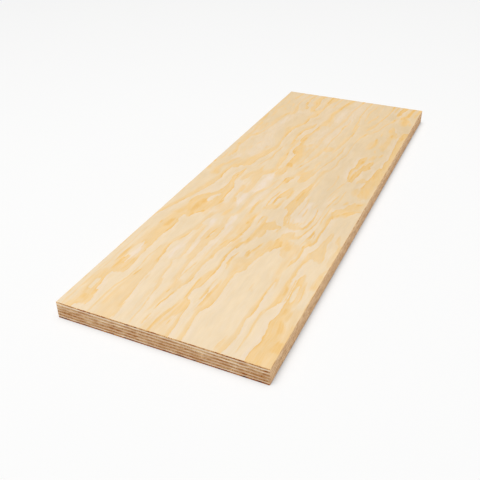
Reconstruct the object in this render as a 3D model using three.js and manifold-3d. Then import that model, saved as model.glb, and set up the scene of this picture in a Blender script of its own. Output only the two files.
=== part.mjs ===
// A cut piece of 18 mm softwood plywood, lying flat with its face veneer up.
//
// Eleven rotary-cut veneers are glued in a stack. Each is turned a quarter turn to its neighbours, so the
// odd layers run their grain along the sheet and the even ones across it. The stack is pressed, trimmed with
// a saw to one flush outline, and its sharp outer edges are eased with abrasive paper.
//
// Millimetres. X is across the sheet, +Y is along the face grain, +Z is the face side. The origin is the
// centre of the underside.

import * as THREE from "three";
import { mergeVertices } from "three/addons/utils/BufferGeometryUtils.js";
import Module from "manifold-3d";

const wasm = await Module();
wasm.setup();

// ---- Driving dimensions ----

const SHEET_LENGTH = 600; // along the face grain
const SHEET_WIDTH = 210; // across the face grain

const FACE_VENEER = 1.5; // top veneer, thinner than the inner plies because it is sanded
const BACK_VENEER = 1.5; // bottom veneer, sanded as well
const LONG_PLY = 1.7; // inner ply with its grain along the sheet
const CROSS_PLY = 1.64; // ply with its grain across the sheet
const CROSS_PLIES = 5; // the layup has this many cross plies and one more long layer, so it is balanced

const ARRIS_RADIUS = 0.5; // round on the outer edges of the face and the back
const CORNER_RADIUS = 0.6; // round on the four upright corners, in plan
const ARRIS_SEGMENTS = 3; // facets round an eased edge
const CORNER_SEGMENTS = 4; // facets round an upright corner

// Glue planes are set on a grid that 32-bit numbers hold exactly, so that glued faces meet without a gap.
const GLUE_PLANE_GRID = 1 / 1024;

// ---- Grain directions and their finishes ----

const GRAIN = { along: "along the sheet", across: "across the sheet" };

const FINISHES = {
  face: { color: 0xf1dab2, roughness: 0.62, metalness: 0 },
  back: { color: 0xecd3a8, roughness: 0.66, metalness: 0 },
  long: { color: 0xa97a52, roughness: 0.8, metalness: 0 },
  cross: { color: 0xc8a684, roughness: 0.8, metalness: 0 },
};

// ---- Outline of the trimmed sheet ----

/** The sheet's plan outline, centred on the origin. */
function sheetOutline() {
  const halfWidth = SHEET_WIDTH / 2;
  const halfLength = SHEET_LENGTH / 2;
  const radius = CORNER_RADIUS;
  const outline = new THREE.Shape();
  outline.moveTo(-halfWidth + radius, -halfLength);
  outline.lineTo(halfWidth - radius, -halfLength);
  outline.absarc(halfWidth - radius, -halfLength + radius, radius, -Math.PI / 2, 0);
  outline.lineTo(halfWidth, halfLength - radius);
  outline.absarc(halfWidth - radius, halfLength - radius, radius, 0, Math.PI / 2);
  outline.lineTo(-halfWidth + radius, halfLength);
  outline.absarc(-halfWidth + radius, halfLength - radius, radius, Math.PI / 2, Math.PI);
  outline.lineTo(-halfWidth, -halfLength + radius);
  outline.absarc(-halfWidth + radius, -halfLength + radius, radius, Math.PI, 1.5 * Math.PI);
  return outline;
}

// ---- Veneers ----

/** A trimmed veneer with square edges, its underside at z = 0. */
function innerVeneer(thickness) {
  return new THREE.ExtrudeGeometry(sheetOutline(), {
    depth: thickness,
    bevelEnabled: false,
    curveSegments: CORNER_SEGMENTS,
  });
}

/** A closed geometry as a solid that can be cut. Only its positions are kept, so that shared ones merge. */
function toSolid(geometry) {
  const bare = geometry.clone();
  bare.deleteAttribute("normal");
  bare.deleteAttribute("uv");
  const merged = mergeVertices(bare, 1e-5);
  return new wasm.Manifold(
    new wasm.Mesh({
      numProp: 3,
      vertProperties: new Float32Array(merged.attributes.position.array),
      triVerts: new Uint32Array(merged.index.array),
    }),
  );
}

/** A solid as a three.js geometry. */
function toGeometry(solid) {
  const mesh = solid.getMesh();
  const geometry = new THREE.BufferGeometry();
  geometry.setAttribute("position", new THREE.BufferAttribute(new Float32Array(mesh.vertProperties), 3));
  geometry.setIndex(new THREE.BufferAttribute(new Uint32Array(mesh.triVerts), 1));
  geometry.computeVertexNormals();
  return geometry;
}

/**
 * An outer veneer, its glued side at z = 0 and its show side at the top, with the show side's edges rounded.
 *
 * The round is made on a blank that is as much thicker as one arris, with both its sides eased, and the lower
 * arris is then sawn off at the glue plane.
 */
function outerVeneer(thickness) {
  const arris = Math.min(ARRIS_RADIUS, thickness, CORNER_RADIUS);
  const blank = new THREE.ExtrudeGeometry(sheetOutline(), {
    depth: thickness,
    bevelEnabled: true,
    bevelThickness: arris,
    bevelSize: arris,
    bevelOffset: -arris,
    bevelSegments: ARRIS_SEGMENTS,
    curveSegments: CORNER_SEGMENTS,
  });
  blank.translate(0, 0, -arris);

  const sawReach = 2 * arris;
  const waste = new THREE.BoxGeometry(SHEET_WIDTH + sawReach, SHEET_LENGTH + sawReach, sawReach);
  waste.translate(0, 0, -sawReach / 2);
  return toGeometry(toSolid(blank).subtract(toSolid(waste)));
}

/** A veneer as a named mesh that remembers which way its grain runs. */
function veneerMesh(name, geometry, finish, grain) {
  const mesh = new THREE.Mesh(geometry, new THREE.MeshStandardMaterial(FINISHES[finish]));
  mesh.name = name;
  mesh.userData.grain = grain;
  return mesh;
}

// ---- The layup, from the back veneer up ----

const CROSS_LAYER = { thickness: CROSS_PLY, finish: "cross", grain: GRAIN.across };
const LONG_LAYER = { thickness: LONG_PLY, finish: "long", grain: GRAIN.along };
const FACE_LAYER = { thickness: FACE_VENEER, finish: "face", grain: GRAIN.along, outer: true };
const BACK_LAYER = { thickness: BACK_VENEER, finish: "back", grain: GRAIN.along, outer: true };

/** Every layer in the order in which the press is loaded. Plies are numbered from the face down. */
function layup() {
  const layers = [{ name: "back_veneer", showSideDown: true, ...BACK_LAYER }];
  for (let number = CROSS_PLIES; number >= 1; number -= 1) {
    layers.push({ name: `cross_ply_${number}`, ...CROSS_LAYER });
    if (number > 1) {
      layers.push({ name: `long_ply_${number - 1}`, ...LONG_LAYER });
    }
  }
  layers.push({ name: "face_veneer", ...FACE_LAYER });
  return layers;
}

/** A height in the stack, moved to the nearest step of the glue plane grid. */
function onGrid(height) {
  return Math.round(height / GLUE_PLANE_GRID) * GLUE_PLANE_GRID;
}

/** The glued sheet: each layer rests on the one before it. */
function plywoodSheet() {
  const sheet = new THREE.Group();
  let stackHeight = 0;
  for (const layer of layup()) {
    const underside = onGrid(stackHeight);
    stackHeight += layer.thickness;
    const topside = onGrid(stackHeight);
    const pressed = topside - underside;

    const geometry = layer.outer ? outerVeneer(pressed) : innerVeneer(pressed);
    const veneer = veneerMesh(layer.name, geometry, layer.finish, layer.grain);
    veneer.position.z = underside;
    if (layer.showSideDown) {
      veneer.rotation.y = Math.PI; // turned over about its long axis, so that its glued side is up
      veneer.position.z = topside;
    }
    sheet.add(veneer);
  }
  return sheet;
}

export default plywoodSheet();
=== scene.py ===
"""The looks of a cut piece of 18 mm softwood plywood that lies flat with its face veneer up.

Eleven rotary-cut pine veneers are glued with their grain crossed. The face shows the gold latewood flames of
a peeled log. The trimmed edges show end grain on the layers that run into them and side grain on the rest.

Lengths in the figure and in the finishes are millimetres. Blender's own lengths are metres.
"""

import logging
import math
from collections.abc import Mapping, Sequence
from dataclasses import dataclass
from enum import Enum

import bmesh
import bpy
import numpy as np
from bpy.types import Material, Mesh, NodeSocket, Object, ShaderNodeTree
from mathutils import Matrix, Vector


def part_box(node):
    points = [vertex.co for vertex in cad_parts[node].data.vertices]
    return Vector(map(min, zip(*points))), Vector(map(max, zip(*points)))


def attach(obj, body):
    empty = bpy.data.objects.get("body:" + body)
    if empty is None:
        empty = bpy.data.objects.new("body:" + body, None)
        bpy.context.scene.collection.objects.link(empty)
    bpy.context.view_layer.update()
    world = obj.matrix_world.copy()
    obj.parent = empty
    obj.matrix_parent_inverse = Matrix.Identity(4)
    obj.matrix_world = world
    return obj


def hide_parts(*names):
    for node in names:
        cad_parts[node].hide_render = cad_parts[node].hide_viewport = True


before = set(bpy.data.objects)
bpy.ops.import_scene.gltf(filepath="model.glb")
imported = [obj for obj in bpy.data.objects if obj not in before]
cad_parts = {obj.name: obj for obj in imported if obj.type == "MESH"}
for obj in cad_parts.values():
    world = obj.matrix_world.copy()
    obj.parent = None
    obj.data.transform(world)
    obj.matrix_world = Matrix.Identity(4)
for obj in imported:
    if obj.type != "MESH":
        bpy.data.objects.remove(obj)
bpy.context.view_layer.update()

MM = 0.001  # metres in a millimetre
BODY = "root"  # the sheet has no joints, so every piece rides on this body
SHARP_ANGLE = 40.0  # degrees between two faces, from which the edge between them is drawn sharp
CORNER_FACETS = 4  # facets round an upright corner
SIDE_DEPTH = 1.0  # mm inside the outline that still belong to a trimmed side
AT_GLUE = 0.02  # share of a layer's edge, beside a glue line, that counts as being at it
SPOT_SPACING = 16.0  # mm between random stains on a trimmed side
SPOT_REACH = (1.2, 5.0)  # mm that they spread, from the least to the most
SPOT_DEPTH = (-0.5, 0.9)  # how much darker they are
WOOD_IOR = 1.5
WOOD_GLOSS = 0.1  # bare sawn or sanded wood hardly shines
LOG = logging.getLogger("plywood_sheet")

Point = tuple[float, float, float]
Wave = tuple[float, tuple[float, float]]  # how high it is, and how large its bumps are, in millimetres

# Settings that many nodes share.
ADD = {"operation": "ADD"}
SUBTRACT = {"operation": "SUBTRACT"}
MULTIPLY = {"operation": "MULTIPLY"}
SCALE_ADD = {"operation": "MULTIPLY_ADD"}
EASED = {"interpolation_type": "SMOOTHSTEP"}
COLOURS = {"data_type": "RGBA"}


# ---- Small tools ----


def linear(code: str) -> tuple[float, float, float, float]:
    """Turns an sRGB hex colour into the linear colour that shaders use.

    Args:
        code: Six hex digits, red first.

    Returns:
        Red, green and blue from 0 to 1, and an alpha of 1.
    """
    channels = [int(code[start : start + 2], 16) / 255 for start in (0, 2, 4)]
    red, green, blue = (c / 12.92 if c <= 0.04045 else ((c + 0.055) / 1.055) ** 2.4 for c in channels)
    return red, green, blue, 1.0


def add_node(
    tree: ShaderNodeTree,
    kind: str,
    settings: Mapping[str, object] | None = None,
    inputs: Mapping[str | int, object] | None = None,
    output: str | int = 0,
) -> NodeSocket:
    """Adds a node to a material's tree.

    Args:
        tree: The tree that gets the node.
        kind: Blender's name of the node's type, without the part that all shader nodes share.
        settings: The node's own options.
        inputs: For each input socket, its value, or the output socket that is linked to it.
        output: Which of the new node's outputs to return.

    Returns:
        That output socket.
    """
    node = tree.nodes.new("ShaderNode" + kind)
    for name, value in (settings or {}).items():
        setattr(node, name, value)
    for name, value in (inputs or {}).items():
        if isinstance(value, NodeSocket):
            tree.links.new(value, node.inputs[name])
        else:
            node.inputs[name].default_value = value
    return node.outputs[output] if len(node.outputs) else None


def patches(tree: ShaderNodeTree, place: NodeSocket, cell: Point, detail: float = 2.0) -> NodeSocket:
    """Adds soft random patches of a real size.

    Args:
        tree: The material's tree.
        place: Where they are read, in metres.
        cell: Their size along each axis, in millimetres.
        detail: How many finer layers they have.

    Returns:
        Their strength, from about -0.5 to 0.5.
    """
    cells = add_node(tree, "Mapping", inputs={0: place, "Scale": tuple(1 / (size * MM) for size in cell)})
    raw = add_node(tree, "TexNoise", inputs={0: cells, "Scale": 1.0, "Detail": detail})
    return add_node(tree, "Math", SUBTRACT, {0: raw, 1: 0.5})


def smooth(share: np.ndarray) -> np.ndarray:
    """Eases a share from 0 to 1 so that it starts and ends level, and clips it."""
    held = np.clip(share, 0.0, 1.0)
    return held * held * (3.0 - 2.0 * held)


def rise(low: float, high: float, value: np.ndarray) -> np.ndarray:
    """Goes smoothly from 0 where value is low to 1 where it is high."""
    return smooth((value - low) / (high - low))


def through(at: np.ndarray, knots: np.ndarray, values: np.ndarray) -> np.ndarray:
    """A smooth line through some points that never swings past them.

    Args:
        at: Where the line is wanted.
        knots: The points' places, in rising order.
        values: The points' heights.

    Returns:
        The line's height at each wanted place. It is level beyond its ends.
    """
    slopes = np.diff(values) / np.diff(knots)
    tangents = np.zeros(len(knots))
    before, after = slopes[:-1], slopes[1:]
    steepest = 3 * np.minimum(np.abs(before), np.abs(after))
    middle = np.clip((before + after) / 2, -steepest, steepest)
    tangents[1:-1] = np.where(before * after > 0, middle, 0.0)
    first = np.clip(np.searchsorted(knots, at, side="right") - 1, 0, len(knots) - 2)
    span = knots[first + 1] - knots[first]
    t = np.clip((at - knots[first]) / span, 0.0, 1.0)
    blend = t * t * (3.0 - 2.0 * t)
    lift = t * (1.0 - t) ** 2 * span * tangents[first] - t * t * (1.0 - t) * span * tangents[first + 1]
    return values[first] * (1.0 - blend) + values[first + 1] * blend + lift


def between(heights: np.ndarray, rows: np.ndarray, columns: np.ndarray, eased: bool) -> np.ndarray:
    """Reads a grid of heights between its points.

    Args:
        heights: The grid.
        rows: Where to read it, counted in rows.
        columns: Where to read it, counted in columns.
        eased: Whether the surface is level at each grid point, instead of straight between them.

    Returns:
        The height at each place.
    """
    low, part = [], []
    for places, count in zip((rows, columns), heights.shape):
        floor = np.clip(np.floor(places).astype(int), 0, count - 2)
        share = np.clip(places - floor, 0.0, 1.0)
        low.append(floor)
        part.append(smooth(share) if eased else share)
    row, column = low
    near = heights[row, column] * (1 - part[0]) + heights[row + 1, column] * part[0]
    far = heights[row, column + 1] * (1 - part[0]) + heights[row + 1, column + 1] * part[0]
    return near * (1 - part[1]) + far * part[1]


@dataclass
class Ripple:
    """Smooth seeded unevenness over a plane.

    Attributes:
        reach: The plane's size in millimetres, first across and then along.
        source: Where the random heights come from.
        spare: Bumps before the plane, for points a little outside it. Twice as many lie beyond it.
    """

    reach: tuple[float, float]
    source: np.random.Generator
    spare: int = 2

    def over(self, across: np.ndarray, along: np.ndarray, cell: tuple[float, float]) -> np.ndarray:
        """Draws new unevenness.

        Args:
            across: First coordinate of each point, in millimetres from one corner.
            along: Second coordinate of each point.
            cell: How far apart its bumps are, in both directions.

        Returns:
            The height at each point, from -1 to 1.
        """
        counts = [int(reach / size) + 3 * self.spare for reach, size in zip(self.reach, cell)]
        heights = self.source.uniform(-1.0, 1.0, counts)
        return between(heights, across / cell[0] + self.spare, along / cell[1] + self.spare, eased=True)

    def total(
        self, across: np.ndarray, along: np.ndarray, waves: Sequence[Wave], level: float = 0.0
    ) -> np.ndarray:
        """Adds new waves to a level, and gives the height at each point."""
        return sum((height * self.over(across, along, cell) for height, cell in waves), level)


# ---- The figure of the face veneer ----


class Wood(Enum):
    """Which part of a growth ring a flame shows."""

    LATE = "dense gold latewood"
    EARLY = "soft pale earlywood"
    WHITE = "the whitest earlywood"
    DULL = "greyer wood, where the grain dips towards a knot"


class Crisp(Enum):
    """Which edges of a flame are sharp, seen with the grain running away from the viewer."""

    LEFT = "left"
    RIGHT = "right"
    BOTH = "both"
    NONE = "none"


@dataclass(frozen=True)
class Flame:
    """A band of the figure along the grain, in millimetres.

    Attributes:
        wood: What it shows.
        tone: How strong its colour is.
        crisp: Which of its edges are sharp.
        stations: Places along it. Each is the distance from the near end, and the distances of the flame's
            left and right edges from the left long edge.
    """

    wood: Wood
    tone: float
    crisp: Crisp
    stations: tuple[Point, ...]


def gold(tone: float, crisp: Crisp, *stations: Point) -> Flame:
    """A flame of latewood with a sharp edge."""
    return Flame(Wood.LATE, tone, crisp, stations)


def wash(tone: float, *stations: Point) -> Flame:
    """A soft patch of latewood."""
    return Flame(Wood.LATE, tone, Crisp.NONE, stations)


def pale(tone: float, crisp: Crisp, *stations: Point) -> Flame:
    """A flame of earlywood, which covers the latewood under it."""
    return Flame(Wood.EARLY, tone, crisp, stations)


def white(tone: float, *stations: Point) -> Flame:
    """A soft patch of the whitest earlywood."""
    return Flame(Wood.WHITE, tone, Crisp.NONE, stations)


def dull(tone: float, *stations: Point) -> Flame:
    """A soft patch of greyer wood."""
    return Flame(Wood.DULL, tone, Crisp.NONE, stations)


LEFT, RIGHT, BOTH, NONE = Crisp

# Names of the fields that a figure leaves on a veneer's vertices.
FIGURE_FIELDS = ("edge", "tone", "bleach", "dullness")

# Each flame lies over the ones before it.
FACE_FLAMES = (
    # near third, left long edge to 32 mm
    gold(0.7, RIGHT, (0, 6, 16.5), (7, 6, 18), (9, 6, 26.5), (21, 5.5, 27), (24, 5.5, 23), (38, 5, 21),
        (48, 5, 19), (57, 6, 19), (62, 7, 22), (64, 7, 30), (72, 8, 31.5), (95, 8, 30), (145, 9, 30),
        (150, 10, 31.5), (168, 10, 32.5), (172, 12, 30), (190, 14, 31), (193, 15, 33)),
    gold(0.95, RIGHT, (20, 21, 23.5), (40, 18.5, 21), (53, 17.5, 18.5)),
    pale(1, BOTH, (28, 14.5, 16.5), (32, 13, 17.5), (42, 13, 17.5), (49, 15, 16.5)),
    wash(0.8, (60, 16, 19), (70, 13, 22), (78, 12, 24), (90, 12, 16)),
    gold(1, LEFT, (80, 13, 15), (100, 13, 15), (107, 13.5, 14.5)),
    wash(0.8, (64, 24, 30), (100, 26, 30), (120, 24, 30)),
    pale(0.85, BOTH, (80, 20.5, 22.5), (88, 16.5, 23.5), (104, 15.5, 25), (112, 16.5, 24), (121, 20, 21.5)),
    gold(0.9, LEFT, (80, 18, 20), (85, 17.2, 19.5), (91, 18.5, 20)),
    wash(0.85, (112, 22.5, 25.5), (118, 21, 25), (123, 20, 24)),
    gold(1.05, RIGHT, (143, 27, 31), (160, 29, 32.7), (168, 29.5, 32.3)),
    wash(0.95, (150, 19, 30), (160, 18, 31), (178, 21, 29)),
    wash(0.95, (155, 14.5, 18), (162, 13.5, 18), (167, 14.5, 17)),
    wash(0.45, (0, 5, 7.5), (20, 5, 7), (45, 5, 7.5), (70, 7, 9), (90, 6, 8), (115, 6.5, 8.5), (135, 6, 8),
        (152, 7.5, 9)),
    wash(0.5, (12, 0.5, 2.5), (22, 0.3, 2.3), (30, 0.8, 2)),
    wash(0.45, (36, 0.6, 2.4), (44, 0.2, 2.4), (52, 1, 2)),
    wash(0.4, (55, 3.5, 5), (70, 3.5, 5.5), (84, 4.5, 6)),
    wash(0.5, (94, 0, 2), (115, -0.5, 2), (150, 0, 1.5)),
    # the second flame and its point, 150 to 300
    gold(0.68, BOTH, (182, 36, 37.5), (193, 31, 42), (197, 30, 45.5), (205, 26, 48), (216, 24, 50.5),
        (219, 23, 54), (228, 24, 55.7), (240, 35, 55.3), (246, 38, 54.5), (252, 41.5, 54.5),
        (264, 43.5, 54.7), (270, 44, 52.5), (282, 42.5, 48), (290, 40.5, 47), (298, 41, 47.6),
        (303, 43, 48.5), (319, 46.3, 47.8)),
    wash(0.68, (178, 11, 30), (188, 13, 32), (198, 18, 36), (210, 19.5, 34), (221, 21, 30), (232, 24, 36),
        (236, 29, 40), (244, 36, 44), (252, 41, 50)),
    wash(0.9, (188, 27, 40), (200, 26, 44), (216, 26, 46), (234, 31, 44)),
    gold(1, RIGHT, (183, 36, 37.6), (188, 34.5, 38.5), (196, 33, 37)),
    gold(1.3, RIGHT, (192, 40, 42.5), (198, 43, 46), (202, 45, 47)),
    wash(0.95, (210, 21, 25), (216, 21, 24.5), (222, 23, 25)),
    pale(0.75, BOTH, (221, 41.5, 43), (225, 38, 44.5), (232, 38.5, 46), (238, 41.5, 48), (246, 47, 47.8)),
    gold(0.6, RIGHT, (227, 47, 49), (232, 46.5, 48.6), (237, 48, 49)),
    gold(0.95, RIGHT, (219, 50, 54), (226, 52.5, 55.7), (247, 51.5, 54.6), (260, 50.5, 54.6),
        (270, 49, 52.3)),
    wash(0.95, (288, 43.5, 46.5), (295, 43, 47), (302, 43, 47)),
    # diagonal band from the left long edge
    gold(0.65, RIGHT, (166, -1, 1), (190, 1, 7.5), (216, 8, 15), (240, 13, 21.5), (256, 15, 26),
        (270, 19, 28), (282, 21, 29.5), (287, 22, 27.5), (300, 22, 28), (312, 23, 29), (317, 22, 36),
        (324, 24, 37.5), (326, 26, 46), (332, 29, 49), (345, 33, 50), (362, 39, 56), (375, 44, 58),
        (385, 50, 60), (398, 54, 60.5), (404, 54, 59), (420, 53, 57), (450, 48, 57.5), (460, 49, 59),
        (477, 57, 60)),
    gold(1, RIGHT, (208, 10, 13), (213, 11, 14), (219, 13, 15)),
    gold(0.95, RIGHT, (276, 26, 28.7), (283, 26, 29.5), (287, 25, 27.8), (300, 25, 28), (308, 26, 28.4)),
    gold(0.75, RIGHT, (316, 31, 36), (322, 32, 37.5), (326, 38, 46), (332, 42, 49), (346, 47, 50)),
    wash(0.55, (283, 9, 22), (292, 8, 27), (300, 8, 22), (312, 10, 20), (322, 15, 24), (334, 18, 28),
        (346, 24, 32)),
    wash(0.6, (293, 0, 2), (298, -1, 6), (305, -1, 6), (311, 2, 4)),
    wash(1.2, (315, -1, 2.5), (320, -1, 3.2), (326, 0, 2)),
    wash(0.5, (322, 2.5, 5), (334, 3.5, 8), (344, 4, 8), (356, 3.5, 6)),
    wash(0.45, (225, -0.5, 1.5), (236, -0.5, 2.3), (248, 0, 2), (262, -0.5, 1.5)),
    wash(0.35, (260, 3.5, 6.5), (268, 4, 7.5), (276, 4, 6)),
    # second band under the left long edge, 300 to 600
    gold(0.5, RIGHT, (338, 9.5, 12), (345, 8, 12.8), (362, 8, 13), (375, 6, 11), (400, 3, 12), (412, 4, 12.5),
        (417, 7, 19), (424, 12, 20), (430, 17, 21.5), (456, 20, 25.5), (470, 17.5, 27), (484, 18, 27.5),
        (505, 24, 30), (514, 27, 31)),
    wash(0.75, (350, 13, 18), (354, 12, 16.5), (367, 13, 15)),
    wash(0.7, (377, 5, 11), (382, 4, 11.5), (388, 5, 10)),
    wash(0.7, (416, 13, 18), (421, 13.5, 19.5), (427, 14, 19)),
    wash(0.7, (494, 25.5, 28.7), (503, 26, 30), (511, 27.5, 30.6)),
    wash(0.5, (404, 4, 11), (430, 5, 11.5), (445, 3, 11.5), (460, 3, 11), (470, 3, 9)),
    wash(0.65, (398, 0.3, 2.5), (404, 0.3, 3), (410, 0.5, 2)),
    wash(0.65, (432, 0.3, 2.3), (445, 0.5, 2.6), (454, 0.5, 2)),
    wash(0.7, (459, 1, 3), (466, 0.5, 4), (474, 1, 7.5), (482, 1, 7), (492, 1, 4.5), (503, 1, 3.5)),
    wash(0.5, (503, 1, 3), (520, 1, 4), (540, 1.5, 3.2), (572, 2, 5), (592, 2, 4.5)),
    wash(0.42, (484, 9.5, 12), (498, 9, 12.5), (510, 9, 12), (518, 10, 11.5)),
    wash(0.4, (497, 6, 8), (510, 7, 9.5), (520, 5, 9), (530, 8, 13), (550, 13, 15.8), (565, 11.5, 14)),
    wash(0.45, (518, 18, 19.5), (525, 17, 20.5), (531, 18, 19.5)),
    gold(0.45, RIGHT, (506, 33, 36), (512, 31, 39), (522, 31, 39), (530, 30, 37.5), (558, 29, 31.5),
        (590, 32, 36), (601, 32, 38)),
    wash(0.4, (535, 24, 25.5), (545, 23, 26.5), (555, 22, 24)),
    gold(0.58, RIGHT, (534, 45, 47), (538, 42.5, 48.5), (545, 42, 48), (550, 40, 45), (560, 38, 44.5),
        (568, 39, 43.2), (580, 39, 42.5), (590, 40, 45), (601, 40, 46)),
    wash(0.75, (553, 39, 43), (560, 39, 44), (567, 40, 43)),
    gold(0.48, RIGHT, (567, 15, 18), (575, 15, 20), (585, 17, 22), (601, 18, 24)),
    gold(0.6, RIGHT, (530, 55, 58), (535, 52, 62), (545, 50.5, 61), (555, 51, 61), (565, 50, 61.5),
        (572, 47, 59.5), (582, 47, 58), (592, 49, 59.5), (601, 50, 62)),
    wash(0.75, (557, 54, 60), (565, 52, 60.5), (572, 48.5, 57)),
    # small marks in the plain area at 365 to 395
    wash(0.5, (326, 38, 47), (332, 40, 48), (340, 42, 48)),
    wash(0.4, (364, 22, 24.5), (369, 22, 24.5), (374, 23, 24)),
    wash(0.45, (370, 26.5, 28), (379, 26, 28.5), (387, 26.5, 28)),
    wash(0.45, (385, 30, 32), (390, 29.5, 33), (404, 33, 34)),
    wash(0.4, (400, 16, 18), (405, 15.5, 18.8), (410, 16.5, 18)),
    wash(0.45, (378, 44, 46), (386, 43.5, 49), (393, 46, 49)),
    # wide soft flame, 0 to 160 along, 34 to 58 across
    gold(0.5, RIGHT, (0, 34, 57), (10, 33.5, 58.5), (20, 33.5, 57), (42, 34.5, 55.5), (52, 36, 53.5),
        (80, 38.5, 53), (92, 38, 52), (97, 38, 50.5), (108, 38, 50), (126, 42, 47), (138, 43, 52),
        (153, 49, 55.7), (158, 50, 55), (162, 51, 58.5), (180, 54, 58), (192, 54, 59), (203, 55, 60)),
    wash(0.65, (0, 33.5, 36), (20, 33, 36), (40, 33.5, 36.5), (52, 35.5, 39), (66, 38, 40.5),
        (80, 38.5, 40.5), (100, 36.5, 39), (112, 38, 41), (124, 39, 41)),
    gold(0.65, RIGHT, (14, 50, 57.5), (30, 49, 56), (44, 50, 55.3), (56, 51, 53.5)),
    wash(1.1, (60, 41, 43), (68, 40.5, 44), (81, 43, 45)),
    gold(0.95, RIGHT, (90, 46, 50.5), (108, 45.5, 49.7), (114, 45, 48), (124, 44.5, 47), (130, 45.5, 48)),
    gold(0.85, RIGHT, (138, 48, 52), (145, 50.5, 54.6), (153, 51, 55.6)),
    wash(0.2, (3, 58.5, 60), (12, 58, 59.5), (20, 57, 58.5)),
    wash(0.4, (58, 55, 57), (68, 54.5, 57), (76, 55, 56)),
    # light band from 195 to 250 along, 54 to 90 across
    wash(0.36, (193, 55, 62), (203, 56, 68), (214, 58, 80), (226, 60, 78), (236, 62, 70), (246, 62, 66)),
    gold(0.62, RIGHT, (229, 66, 69), (235, 65, 70), (247, 61.5, 65.8), (270, 60.5, 65.5), (277, 61, 63)),
    gold(0.5, RIGHT, (256, 69, 71.5), (262, 67, 74.7), (272, 65.5, 75.7), (285, 65.5, 75), (297, 59, 74.3),
        (312, 55, 75), (316, 56, 80), (320, 60, 82), (324, 68, 83)),
    gold(0.52, RIGHT, (284, 51, 56), (290, 50, 57.5), (306, 52.5, 60), (312, 55, 67), (318, 59, 69),
        (323, 60, 66)),
    wash(0.6, (313, 60, 70), (318, 62, 70), (328, 63, 67), (337, 64, 66)),
    wash(0.45, (205, 81, 84), (210, 80.5, 87), (228, 80, 89), (258, 81, 87), (268, 83, 91), (284, 91, 95),
        (297, 92, 97), (310, 95, 99)),
    # lens band, 70 to 205 along, 72 to 84 across
    gold(0.48, RIGHT, (70, 78, 82.5), (105, 75.5, 81), (140, 75, 80.7), (148, 72.5, 81), (155, 72.5, 83.5),
        (175, 73, 84), (182, 74, 83), (200, 71, 80), (208, 69, 81)),
    gold(0.55, RIGHT, (64, 82.5, 84.5), (72, 81.5, 83.5), (84, 81, 83), (104, 79.5, 81)),
    gold(0.42, LEFT, (112, 75.5, 79), (145, 74.8, 80), (149, 72.3, 80), (166, 72, 80), (176, 74.5, 80)),
    wash(0.85, (144, 73, 77), (152, 74, 78.5), (160, 74, 79), (177, 76.5, 79.5)),
    wash(0.98, (162, 74, 77.8), (169, 74.8, 79), (176, 76, 79)),
    pale(0.9, BOTH, (156, 77, 78.5), (160, 76.3, 79), (165, 77.5, 79)),
    gold(0.7, RIGHT, (150, 82, 84), (160, 82.5, 84.6), (172, 82, 84.2), (183, 80.7, 83)),
    # gold streak band at 60 to 70 across
    wash(0.25, (6, 67, 74), (46, 66.5, 73), (60, 67, 71)),
    gold(0.5, RIGHT, (2, 74.8, 76.6), (15, 74.8, 76.7), (52, 70.8, 73), (58, 69, 72), (66, 68.3, 70.2),
        (74, 66, 69)),
    gold(0.4, RIGHT, (50, 72.5, 74), (62, 71.3, 73.2), (73, 70, 72)),
    gold(0.5, RIGHT, (66, 64.5, 69), (82, 63, 67.5), (94, 63.5, 67), (104, 60.5, 64)),
    gold(0.5, RIGHT, (104, 65, 69.3), (118, 65, 69.5), (140, 59.5, 66.8), (174, 60, 65.5)),
    # thin flames near the end, 80 to 100 across
    wash(0.42, (18, 80.5, 83), (35, 80, 86), (62, 80, 88), (72, 81, 84)),
    gold(0.95, RIGHT, (28, 85.7, 87.5), (40, 86, 88), (48, 87, 90), (54, 88, 90.6), (60, 89, 91.6)),
    gold(0.55, RIGHT, (4, 85.3, 87.3), (12, 85.2, 87.7), (22, 86, 87.3)),
    wash(0.95, (52, 84, 85.7), (57, 83, 86.2), (63, 84, 86)),
    gold(0.6, RIGHT, (60, 86, 92), (76, 90.5, 96), (108, 90.5, 95.3), (117, 92, 95.7), (119, 92, 98.5),
        (128, 91, 97.3), (136, 91.5, 97.6), (141, 92.5, 99.7), (148, 92.5, 99), (162, 94, 100)),
    gold(0.85, RIGHT, (72, 92.5, 95.5), (78, 93.5, 96.8), (86, 94, 96.7)),
    wash(0.9, (116, 94, 97), (121, 94.3, 97.5), (128, 93.5, 96)),
    wash(0.75, (83, 83.8, 86), (104, 85.3, 87.3), (113, 86.6, 88.3)),
    wash(0.35, (86, 88.7, 91), (110, 88.7, 91.5), (150, 88.5, 92)),
    wash(0.35, (0, 88, 95), (15, 88.5, 95), (32, 90, 96)),
    gold(0.8, RIGHT, (0, 94.3, 96.6), (20, 94.8, 97.3), (28, 95.3, 99), (38, 99, 100.7), (46, 100, 101.7)),
    # gold band at 100 to 116 across
    gold(0.74, RIGHT, (8, 100.5, 101.7), (16, 100, 104), (34, 100, 109.7), (42, 100.5, 113), (48, 101, 111.5),
        (58, 102, 106), (68, 102, 105.7), (72, 101, 109.5), (92, 101.5, 110.7), (100, 104, 110),
        (105, 107, 110)),
    wash(1, (46, 102.5, 106), (76, 101.5, 105), (92, 102, 106)),
    gold(0.7, RIGHT, (0, 110, 116), (12, 111, 115.7), (45, 108, 112.7)),
    pale(0.9, NONE, (1, 102.5, 109.5), (10, 101.5, 109.8), (32, 106.3, 108.5)),
    wash(1.0, (10, 106.3, 108.2), (16, 106, 108.6), (22, 106.5, 108.2)),
    gold(0.98, RIGHT, (90, 108.3, 111), (104, 108.6, 111.9), (113, 108.8, 111.4), (118, 107.3, 110.6),
        (132, 107, 110), (150, 108, 112), (160, 111.5, 115.2), (161.5, 113.5, 117.5), (173, 114.3, 118.4)),
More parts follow.
